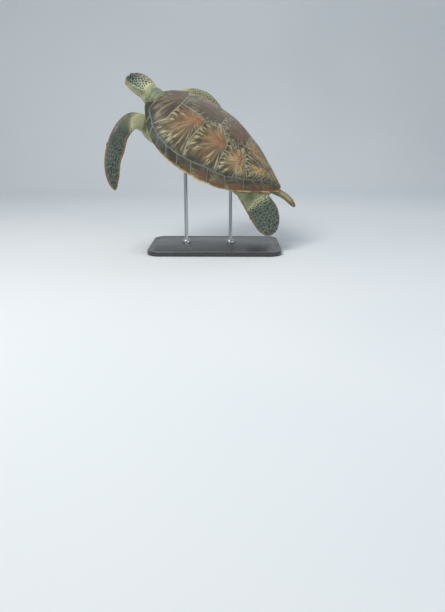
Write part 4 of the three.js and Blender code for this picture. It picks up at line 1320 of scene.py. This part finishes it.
def mark_tail(body, marks):
    """Pale, with two brown streaks a side and a dark tip."""
    rear = np.clip((-.5 - body[:, 0]) / .155, 0, 1)
    axis = tail_at(np.clip((-.36 - body[:, 0]) / .295, 0, 1))
    aside, rise = np.abs(body[:, 1]), body[:, 2] - axis[:, 2]
    on_tail = smooth(-body[:, 0], .5, .53) * (aside < .06) * (np.abs(rise) < .05)
    tip = smooth(rear, .5, .8)
    turn = np.arctan2(rise, aside)
    streaks = 1.2 * np.exp(-((turn - .1) / .3) ** 2) + np.exp(-((turn - 1.15) / .25) ** 2)
    marks["pale"] = np.maximum(marks["pale"], on_tail * .4 * (1 - tip))
    marks["rust"] = np.maximum(marks["rust"], on_tail * np.maximum(streaks, tip))


def mark_head(body, marks):
    """Horny plates on crown and cheeks, paler jaw, throat and collar, and dark lids."""
    head = to_head(body)
    on_head = np.flatnonzero(head[:, 0] > -.05)
    head = head[on_head]
    x, y, z = head.T
    seeds = head_plate_seeds()
    apart = np.linalg.norm(head[:, None] - seeds[None], axis=-1)
    near = np.sort(apart, axis=1)[:, :2]
    border = (near[:, 1] - near[:, 0]) / .1
    shade = rng.random(len(seeds))[apart.argmin(1)]
    jaw = np.interp(x, (.3, .46, .6, .9, 1.1), (-.22, -.16, -.14, -.1, -.1))
    plated = smooth(z - .16 * (.5 - x), -.17, -.05) * smooth(x, -.04, .2) * smooth(z - jaw, -.005, .02)
    marks["plates"][on_head] = np.c_[border, shade, plated]
    cheek = smooth(z, -.03, -.13) * (1 - smooth(x, .7, .85))
    marks["dark"][on_head] = plated * (1 - .55 * cheek)
    collar = smooth(x, .32, .1) * smooth(x, -.3, -.05) * smooth(z, -.1, .05)
    marks["pale"][on_head] = np.maximum(smooth(z, -.1, -.24) * .9, .6 * collar)
    marks["olive"][on_head] = 0
    marks["crown"][on_head] = smooth(z, .16, .29) * (1 - smooth(x, .55, .75)) * smooth(x, -.05, .1)
    marks["nape"][on_head] = 1 - smooth(x, .12, .62)
    from_eye = np.linalg.norm(np.c_[x, np.abs(y), z] - EYE, axis=1) / EYE_SIZE
    marks["lid"][on_head] = 1 - smooth(from_eye, 1.2, 1.55)


def dress_skin(obj):
    """Notes at every point which scale it belongs to and how dark, pale, olive or rusty it is."""
    body = unplace(co(obj))
    marks = {kind: np.zeros(len(body)) for kind in ("dark", "rust", "olive", "crown", "nape", "lid")}
    marks["pale"] = smooth(-body[:, 2], .03, .08) * .9
    marks["cells"] = body / TRUNK_SCALE + TRUNK_PATTERN
    marks["plates"] = np.zeros((len(body), 3))
    mark_flippers(body, marks)
    mark_tail(body, marks)
    mark_head(body, marks)
    note(obj, "cells", marks["cells"])
    note(obj, "headplates", marks["plates"])
    note(obj, "zone", np.c_[marks["dark"], marks["pale"], marks["rust"]])
    note(obj, "tint", np.c_[marks["crown"] - marks["olive"], marks["nape"], marks["lid"]])


def skin_ground(g, grain, fine, dark, pale, tint, on_head):
    """Colour of soft skin between scales, going over to the pale lines round dark ones."""
    soft = g.mix(g.step(grain["Broad"], .3, .7), srgb(108, 121, 96), srgb(138, 143, 112))
    soft = g.mix(g.step(tint, .0, -.8, 0.0, .8), soft, srgb(96, 106, 68))
    soft = g.mix(g.times(pale, .85), soft, srgb(196, 194, 150))
    soft = g.mix(g.step(fine, .10, .02, 0.0, .3), soft, srgb(84, 98, 76))
    line = g.mix(g.step(grain["Broad"], .3, .7), srgb(86, 106, 94), srgb(112, 126, 104))
    line = g.mix(g.step(dark, .95, .4), line, srgb(170, 174, 132))
    line = g.mix(g.times(on_head, .6), line, srgb(176, 190, 162))
    line = g.mix(g.times(pale, .8), line, srgb(212, 206, 160))
    return g.mix(g.step(dark, .08, .45), soft, line)


def skin_scale(g, grain, gap, shade, pale, tint):
    """Colour of a horny scale: near black, brown on the crown, worn at its edge."""
    scale = g.mix(g.step(shade, .2, .9), srgb(26, 38, 38), srgb(50, 62, 54))
    scale = g.mix(g.step(grain["Fine"], .5, .75, 0.0, .4), scale, srgb(72, 76, 58))
    scale = g.mix(g.step(gap, .14, .0, 0.0, .4), scale, srgb(84, 88, 66))
    brown = g.mix(shade, srgb(92, 62, 42), srgb(126, 88, 60))
    scale = g.mix(g.times(g.math("MAXIMUM", tint, 0.0), .75), scale, brown)
    return g.mix(g.times(pale, .3), scale, srgb(110, 112, 86))


def skin_material():
    """Scaled skin: dark horny scales with pale lines between them, thinning out into soft skin."""
    made, g, out = material("scaled turtle skin", Roughness=.5, Specular_IOR_Level=.4, Coat_Roughness=.35)
    where = coordinates(g)
    cells = g.attr("cells")
    head_edge, head_shade, on_head = g.split(g.attr("headplates"))
    dark, pale, rust = g.split(g.attr("zone"))
    # above zero the brown of the crown, below it the olive of the limbs, on the front arms partly painted
    # shade
    tint, nape, lid = g.split(g.attr("tint"))
    grain = g.use(GRAIN, Vector=where, Scale=260.0)
    drift = g.node("TexNoise", {"Vector": cells, "Scale": 1.1}).outputs["Color"]
    moved = g.vector("ADD", cells, g.scale(g.vector("SUBTRACT", drift, (.5, .5, .5)), .45))
    edge = g.cells(moved, spread=.8, space="2D")
    shade = g.split(g.cells(moved, "F1", .8, "Color", "2D"))[0]
    edge = g.fade(on_head, edge, g.times(head_edge, .5))
    shade = g.fade(on_head, shade, head_shade)
    fine = g.cells(g.scale(where, 210.0))
    limit = g.node("MapRange", {"Value": dark, "From Min": .08, "From Max": .9, "To Min": .42,
                                "To Max": .035}).outputs[0]
    gap = g.minus(edge, g.plus(limit, g.times(nape, .06)))
    horny = g.times(g.step(gap, -.012, .03), g.step(dark, .04, .25))
    colour = g.mix(horny, skin_ground(g, grain, fine, dark, pale, tint, on_head),
                   skin_scale(g, grain, gap, shade, pale, tint))
    rusty = g.mix(g.step(grain["Fine"], .35, .65), srgb(150, 112, 68), srgb(116, 92, 62))
    colour = g.mix(g.math("MULTIPLY", rust, .8, True), colour, rusty)
    lids = g.mix(g.step(fine, .02, .2), srgb(70, 76, 58), srgb(44, 50, 42))
    colour = g.mix(g.times(lid, .85), colour, lids)
    g.put(out["Base Color"], colour)
    g.put(out["Roughness"], g.plus(g.times(grain["Fine"], .3), g.fade(horny, .42, .3)))
    g.put(out["Coat Weight"], g.times(horny, .2))
    raised = g.times(g.step(edge, .0, .16), g.step(dark, .02, .5))
    height = g.plus(raised, g.times(g.step(fine, .0, .12), g.fade(horny, .28, .04)))
    height = g.plus(height, g.times(grain["Fine"], .3))
    g.put(out["Normal"], relief(g, height, .7, .0016))
    return made


skin = rough_body()
fuse(skin)
refine_head(skin)
sculpt_head(skin)
# the skin stays a hair inside the solids' box
HAIR = .0002
set_co(skin, np.clip(co(skin), np.array(cad_box[0]) + HAIR, np.array(cad_box[1]) - HAIR))
dress_skin(skin)
skin.data.shade_smooth()
skin.data.materials.append(skin_material())
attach(skin, "root")
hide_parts("trunk", "neck", "head", "jaw_lower", "tail", *LIMBS)

# ---------------------------------------------------------------- eyes


def glass_eye():
    """Dark glass with a brown iris; look holds the angle off the eye's axis and the way round it."""
    made, g, out = material("glass eye", Roughness=.06, IOR=1.42, Coat_Weight=1.0, Coat_Roughness=.02)
    angle, turn_x, turn_z = g.split(g.attr("look"))
    ray = g.noise(g.join(g.times(turn_x, 9.0), g.times(turn_z, 9.0)), 1.0, 3)
    iris = g.mix(g.step(ray, .35, .65), srgb(62, 44, 26), srgb(28, 22, 16))
    colour = g.mix(g.step(angle, .62, .78), iris, srgb(34, 30, 26))
    colour = g.mix(g.step(angle, .40, .34), colour, srgb(4, 4, 4))
    g.put(out["Base Color"], colour)
    return made


def eyes():
    glass = glass_eye()
    for name, sign in (("eye_left", 1), ("eye_right", -1)):
        bpy.ops.mesh.primitive_uv_sphere_add(segments=48, ring_count=32, radius=1)
        ball = bpy.context.object
        ball.name = name.replace("eye", "eyeball")
        unit = co(ball)
        axis = eye_axis(sign)
        facing = unit @ axis
        swell = 1 + .05 * smooth(facing, .72, 1)
        centre = EYE * (1, sign, 1)
        set_co(ball, place(from_head(unit * swell[:, None] * EYE_SIZE + centre)))
        aside = unit - facing[:, None] * axis
        note(ball, "look", np.c_[np.arccos(np.clip(facing, -1, 1)), aside[:, 0], aside[:, 2]])
        ball.data.shade_smooth()
        ball.data.materials.append(glass)
        ball.select_set(False)
        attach(ball, "root")
        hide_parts(name)


eyes()

# ---------------------------------------------------------------- beaks

# Each a line of heights over the head's length: the mouth, and how far each beak's horn reaches.
MOUTH = ((.6, .72, .86, 1.1), (-.15, -.125, -.1, -.1))
UPPER_HORN = ((.6, .7, .81, .885, 1.1), (-.15, -.095, -.02, .04, .05))
LOWER_HORN = ((.6, .7, .775, .86, .9, 1.1), (-.15, -.172, -.19, -.235, -.3, -.4))


def beak_horn():
    """Streaked horn, paler towards its cutting edge and on the lower jaw, with painted shade in the slit.
    """
    made, g, out = material("beak horn", Roughness=.4, Specular_IOR_Level=.4, Coat_Roughness=.3)
    grain = g.use(GRAIN, Vector=coordinates(g), Scale=420.0)
    x, y, z = g.split(g.attr("along"))
    from_mouth, lower, _ = g.split(g.attr("rim"))
    streak = g.noise(g.join(g.times(x, 46.0), g.times(y, 46.0), g.times(z, 7.0)), 1.0, 4)
    colour = g.mix(g.step(streak, .35, .65), srgb(86, 88, 60), srgb(56, 62, 46))
    colour = g.mix(g.step(grain["Broad"], .4, .7, 0.0, .4), colour, srgb(108, 106, 70))
    colour = g.mix(g.step(lower, .2, .8, 0.0, .55), colour, srgb(142, 140, 96))
    colour = g.mix(g.step(from_mouth, .05, .012, 0.0, .7), colour, srgb(158, 152, 104))
    # painted shade: near black along the mouth line, in the slit between the beaks
    colour = g.mix(g.step(from_mouth, .006, .0, 0.0, .8), colour, srgb(40, 40, 30))
    g.put(out["Base Color"], colour)
    g.put(out["Roughness"], g.plus(g.times(grain["Fine"], .2), .28))
    g.put(out["Normal"], relief(g, streak, .35, .0006))
    return made


def beak_section(along, angle):
    """The front half of the head's rings, closer together towards the tip."""
    x = .45 + .55 * along
    return head_section()(np.arcsin(x ** (1 / .9)) * 2 / np.pi, angle)


def beaks():
    """Upper and lower horn of the mouth, each swelling out of the skin between smooth edges."""
    horn = beak_horn()
    for name, under in (("beak_upper", False), ("beak_lower", True)):
        obj = new_object(name.replace("beak", "bill"), *loft(110, 150, beak_section))
        outward(obj)
        head = to_head(co(obj))
        x, _, z = head.T
        saw = .0035 * np.sin(x * 260) * smooth(x, .68, .74) * (1 - smooth(x, .88, .92))
        line = np.interp(x, *MOUTH) + saw
        from_mouth = (line - z if under else z - line) - .0035
        edge = z - np.interp(x, *LOWER_HORN) if under else np.interp(x, *UPPER_HORN) - z
        push = smooth(from_mouth, -.004, .012) * smooth(edge, -.014, .02) * smooth(x, .585, .66)
        head = head + normals(obj) @ HEAD_TURN * (-.016 + .0205 * push)[:, None]
        note(obj, "along", head)
        note(obj, "rim", np.c_[from_mouth, np.full(len(x), float(under)), 0 * x])
        set_co(obj, place(from_head(head)))
        obj.data.shade_smooth()
        obj.data.materials.append(horn)
        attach(obj, "root")
        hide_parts(name)


beaks()

# ---------------------------------------------------------------- claws

CLAW_LENGTH = 15 * MM
CLAW_RADIUS = 4.5 * MM
CLAW_BOW = 5 * MM
# Share along the flipper at which its claw leaves the leading edge.
CLAW_AT = {"front": .56, "hind": .62}


def claw_horn():
    made, g, out = material("claw horn", Roughness=.35, Coat_Weight=.2, Coat_Roughness=.2)
    grain = g.use(GRAIN, Vector=coordinates(g), Scale=500.0)
    g.put(out["Base Color"], g.mix(g.step(grain["Fine"], .3, .7), srgb(62, 52, 36), srgb(112, 98, 66)))
    g.put(out["Normal"], relief(g, grain["Fine"], .3, .0004))
    return made


def claw_section(limb, share):
    """A bowed cone that starts one radius inside the leading edge and points out and to the tip."""
    aim, chord, normal = limb.axes(share)
    root = limb.at(share) + chord * limb.spec["lead"](share)
    way = aim * .8 + chord * .6
    way /= np.linalg.norm(way)
    across = np.cross(way, normal)

    def section(along, angle):
        a = along + 0 * angle
        radius = CLAW_RADIUS * np.clip(1 - a, 0, 1) ** .7 * (a > 0)
        aside = radius * np.cos(angle) - CLAW_BOW * a ** 2
        rise = radius * .8 * np.sin(angle)
        ahead = a * CLAW_LENGTH - CLAW_RADIUS
        return root + way * ahead[..., None] + across * aside[..., None] + normal * rise[..., None]
    return section


def claws():
    horn = claw_horn()
    for name, limb in limbs.items():
        share = np.array(CLAW_AT[name.split("_")[1]])
        verts, faces = loft(16, 20, claw_section(limb, share))
        obj = new_object(name.replace("flipper", "talon"), place(verts), faces)
        outward(obj)
        obj.data.shade_smooth()
        obj.data.materials.append(horn)
        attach(obj, "root")
        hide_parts(name.replace("flipper", "claw"))


claws()

# ---------------------------------------------------------------- stand

BOARD_CORNER = .060
BOARD_ROUND = .003
# A fine groove runs round the upper face of the board: how far in it starts, how broad its sides and
# its floor are, and how deep it is.
GROOVE_IN, GROOVE_SIDE, GROOVE_FLOOR, GROOVE_DEPTH = .018, .002, .003, .0012


def satin_lacquer():
    made, g, out = material("satin black board", Roughness=.35, Coat_Weight=.3, Coat_Roughness=.15)
    grain = g.use(GRAIN, Vector=g.vector("MULTIPLY", coordinates(g), (.25, 1.0, 1.0)), Scale=160.0)
    g.put(out["Base Color"], g.mix(g.step(grain["Fine"], .35, .65), srgb(44, 45, 47), srgb(58, 59, 60)))
    g.put(out["Roughness"], g.plus(g.times(grain["Broad"], .25), .25))
    g.put(out["Normal"], relief(g, grain["Fine"], .12, .0005))
    return made


def brushed_steel():
    made, g, out = material("brushed steel rod", Metallic=1.0, Roughness=.3)
    brush = g.noise(g.vector("MULTIPLY", coordinates(g), (2200.0, 2200.0, 40.0)), 1.0, 3)
    g.put(out["Base Color"], g.mix(g.step(brush, .3, .7), srgb(172, 174, 177), srgb(196, 198, 200)))
    g.put(out["Roughness"], g.plus(g.times(brush, .12), .25))
    g.put(out["Normal"], relief(g, brush, .08, .0002))
    return made


def select_edges(obj, wanted):
    """Selects the edges whose two ends satisfy wanted(a, b), and goes on in edit mode."""
    bpy.ops.mesh.select_all(action="DESELECT")
    bpy.ops.mesh.select_mode(type="EDGE")
    bpy.ops.object.mode_set(mode="OBJECT")
    verts = obj.data.vertices
    for edge in obj.data.edges:
        edge.select = wanted(*(verts[k].co for k in edge.vertices))
    bpy.ops.object.mode_set(mode="EDIT")


def display_base():
    """Board with round corners, softened rims and a groove round its upper face."""
    low, high = (Vector(corner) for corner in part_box("stand_base"))
    bpy.ops.mesh.primitive_cube_add(size=1, location=(low + high) / 2, scale=high - low)
    base = bpy.context.object
    base.name = "display_base"
    bpy.ops.object.transform_apply(location=True, rotation=False, scale=True)
    bpy.ops.object.mode_set(mode="EDIT")
    select_edges(base, lambda a, b: abs(a.z - b.z) > high.z / 2)
    bpy.ops.mesh.bevel(offset=BOARD_CORNER, segments=12, affect="EDGES")
    select_edges(base, lambda a, b: abs(a.z - b.z) < 1e-6)
    bpy.ops.mesh.bevel(offset=BOARD_ROUND, segments=5, affect="EDGES")
    select_edges(base, lambda a, b: min(a.z, b.z) > high.z - 1e-6)
    bpy.ops.mesh.select_mode(type="FACE")
    for thickness, depth in ((GROOVE_IN - BOARD_ROUND, 0), (GROOVE_SIDE, -GROOVE_DEPTH),
                             (GROOVE_FLOOR, 0), (GROOVE_SIDE, GROOVE_DEPTH)):
        bpy.ops.mesh.inset(thickness=thickness, depth=depth)
    bpy.ops.object.mode_set(mode="OBJECT")
    base.select_set(False)
    soften(base, 35)
    base.data.materials.append(satin_lacquer())
    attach(base, "root")
    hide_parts("stand_base")


# The rods stand a hair above the board, each in a turned collar with this outline, radius and height.
ROD_FOOT = .0204
ROD_RADIUS = .008
COLLAR = ((.0220, .0), (.0220, .0006), (.0195, .0105), (.0180, .0120), (.0086, .0120),
          (ROD_RADIUS, .0132))
PAD_RADIUS = .032
PAD_THICK = 8.2 * MM
PAD_ROUND = .002
# How far below the belly the pad's upper face lies.
PAD_DROP = .0047


def display_rod(name, station, steel):
    """Collar, shaft that ends inside the pad, and a pad whose top follows the belly plate."""
    s = np.array(.5 - station)
    touch = belly_point(s, np.array(0.0), BELLY_OUT)
    top = place(touch)
    turns = 40
    turn = np.linspace(0, 2 * np.pi, turns, endpoint=False)

    def ring(centre, radius, z):
        return np.c_[centre[0] + radius * np.cos(turn), centre[1] + radius * np.sin(turn), z + 0 * turn]

    rings = [ring(top, radius, ROD_FOOT + z) for radius, z in COLLAR]
    shaft = unplace(ring(top, ROD_RADIUS, top[2]))
    upward = SPIN.T @ np.array((0, 0, 1.0))
    pad_low = touch[2] - PAD_THICK
    rings.append(place(shaft + ((pad_low - shaft[:, 2]) / upward[2])[:, None] * upward))
    rings.append(place(ring(touch, (PAD_RADIUS - PAD_ROUND) / SHELL, pad_low)))
    pad = ring(touch, PAD_RADIUS / SHELL, pad_low + 1.2 * MM)
    rings.append(place(pad))
    across = pad[:, 1] / (half_width(.5 - pad[:, 0]) * TRUNK_SHARE)
    rings.append(place(np.c_[pad[:, :2], belly_point(.5 - pad[:, 0], across, PAD_DROP)[:, 2]]))
    foot = (top[0], top[1], ROD_FOOT)
    crown = place(belly_point(s, np.array(0.0), PAD_DROP))
    last = 1 + (len(rings) - 1) * turns
    faces = ring_faces(len(rings), turns, 1)
    faces += [(0, 1 + (k + 1) % turns, 1 + k) for k in range(turns)]
    faces += [(last + turns, last + k, last + (k + 1) % turns) for k in range(turns)]
    rod = new_object("display_rod_" + name, np.vstack([foot, *rings, crown]), faces)
    outward(rod)
    soften(rod, 35)
    rod.data.materials.append(steel)
    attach(rod, "root")
    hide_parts("stand_rod_" + name)


display_base()
rod_steel = brushed_steel()
for rod_name, rod_station in (("front", .15), ("rear", -.2)):
    display_rod(rod_name, rod_station, rod_steel)

# ---------------------------------------------------------------- studio

# The floor runs back to the first depth, bends up with the given radius and goes on as a wall.
FLOOR_BACK = 2.2
FLOOR_BEND = 1.6
FLOOR_HALF = 14


def paper_floor():
    rows = [(y, 0.0) for y in np.linspace(-10, FLOOR_BACK, 12)]
    rows += [(FLOOR_BACK + FLOOR_BEND * math.sin(a), FLOOR_BEND * (1 - math.cos(a)))
             for a in np.linspace(.1, math.pi / 2, 16)]
    rows += [(FLOOR_BACK + FLOOR_BEND, z) for z in np.linspace(1.9, 6, 6)]
    verts = [(x, y, z) for y, z in rows for x in (-FLOOR_HALF, FLOOR_HALF)]
    faces = [(2 * k, 2 * k + 1, 2 * k + 3, 2 * k + 2) for k in range(len(rows) - 1)]
    floor = new_object("studio_floor", verts, faces)
    floor.data.shade_smooth()
    made, g, out = material("pale paper floor", Roughness=.9)
    grain = g.use(GRAIN, Vector=coordinates(g), Scale=6.0)
    paper = g.mix(g.step(grain["Broad"], .3, .7), srgb(216, 221, 224), srgb(220, 224, 226))
    g.put(out["Base Color"], paper)
    floor.data.materials.append(made)


def lamp(name, spot, aim, size, power, colour):
    """A round soft lamp that points at aim."""
    data = bpy.data.lights.new(name, "AREA")
    data.shape = "DISK"
    data.size = size
    data.energy = power
    data.color = colour
    obj = bpy.data.objects.new(name, data)
    obj.location = spot
    obj.rotation_euler = (Vector(aim) - Vector(spot)).to_track_quat("-Z", "Y").to_euler()
    bpy.context.collection.objects.link(obj)


def studio():
    scene = bpy.context.scene
    scene.view_settings.view_transform = "Standard"
    scene.view_settings.look = "None"
    world = bpy.data.worlds.new("studio")
    world.use_nodes = True
    world.node_tree.nodes["Background"].inputs["Color"].default_value = (.86, .92, 1, 1)
    world.node_tree.nodes["Background"].inputs["Strength"].default_value = .48
    scene.world = world
    lamp("key", (-1.3, -1.9, 2.9), (0, 0, .45), 1.7, 88, (1, .97, .93))
    lamp("fill", (2.4, -2.0, 1.1), (0, 0, .4), 2.2, 18, (.9, .95, 1))
    lamp("back", (.9, 1.9, 2.6), (0, 0, .5), 2.2, 14, (.92, .96, 1))
    lens = bpy.data.cameras.new("camera")
    lens.sensor_width = 36
    lens.lens = 36 * 600 / 612
    camera = bpy.data.objects.new("camera", lens)
    camera.location = (.065, -2.775, .5625)
    camera.rotation_euler = (math.radians(73), 0, math.radians(.63))
    bpy.context.collection.objects.link(camera)
    scene.camera = camera


paper_floor()
studio()
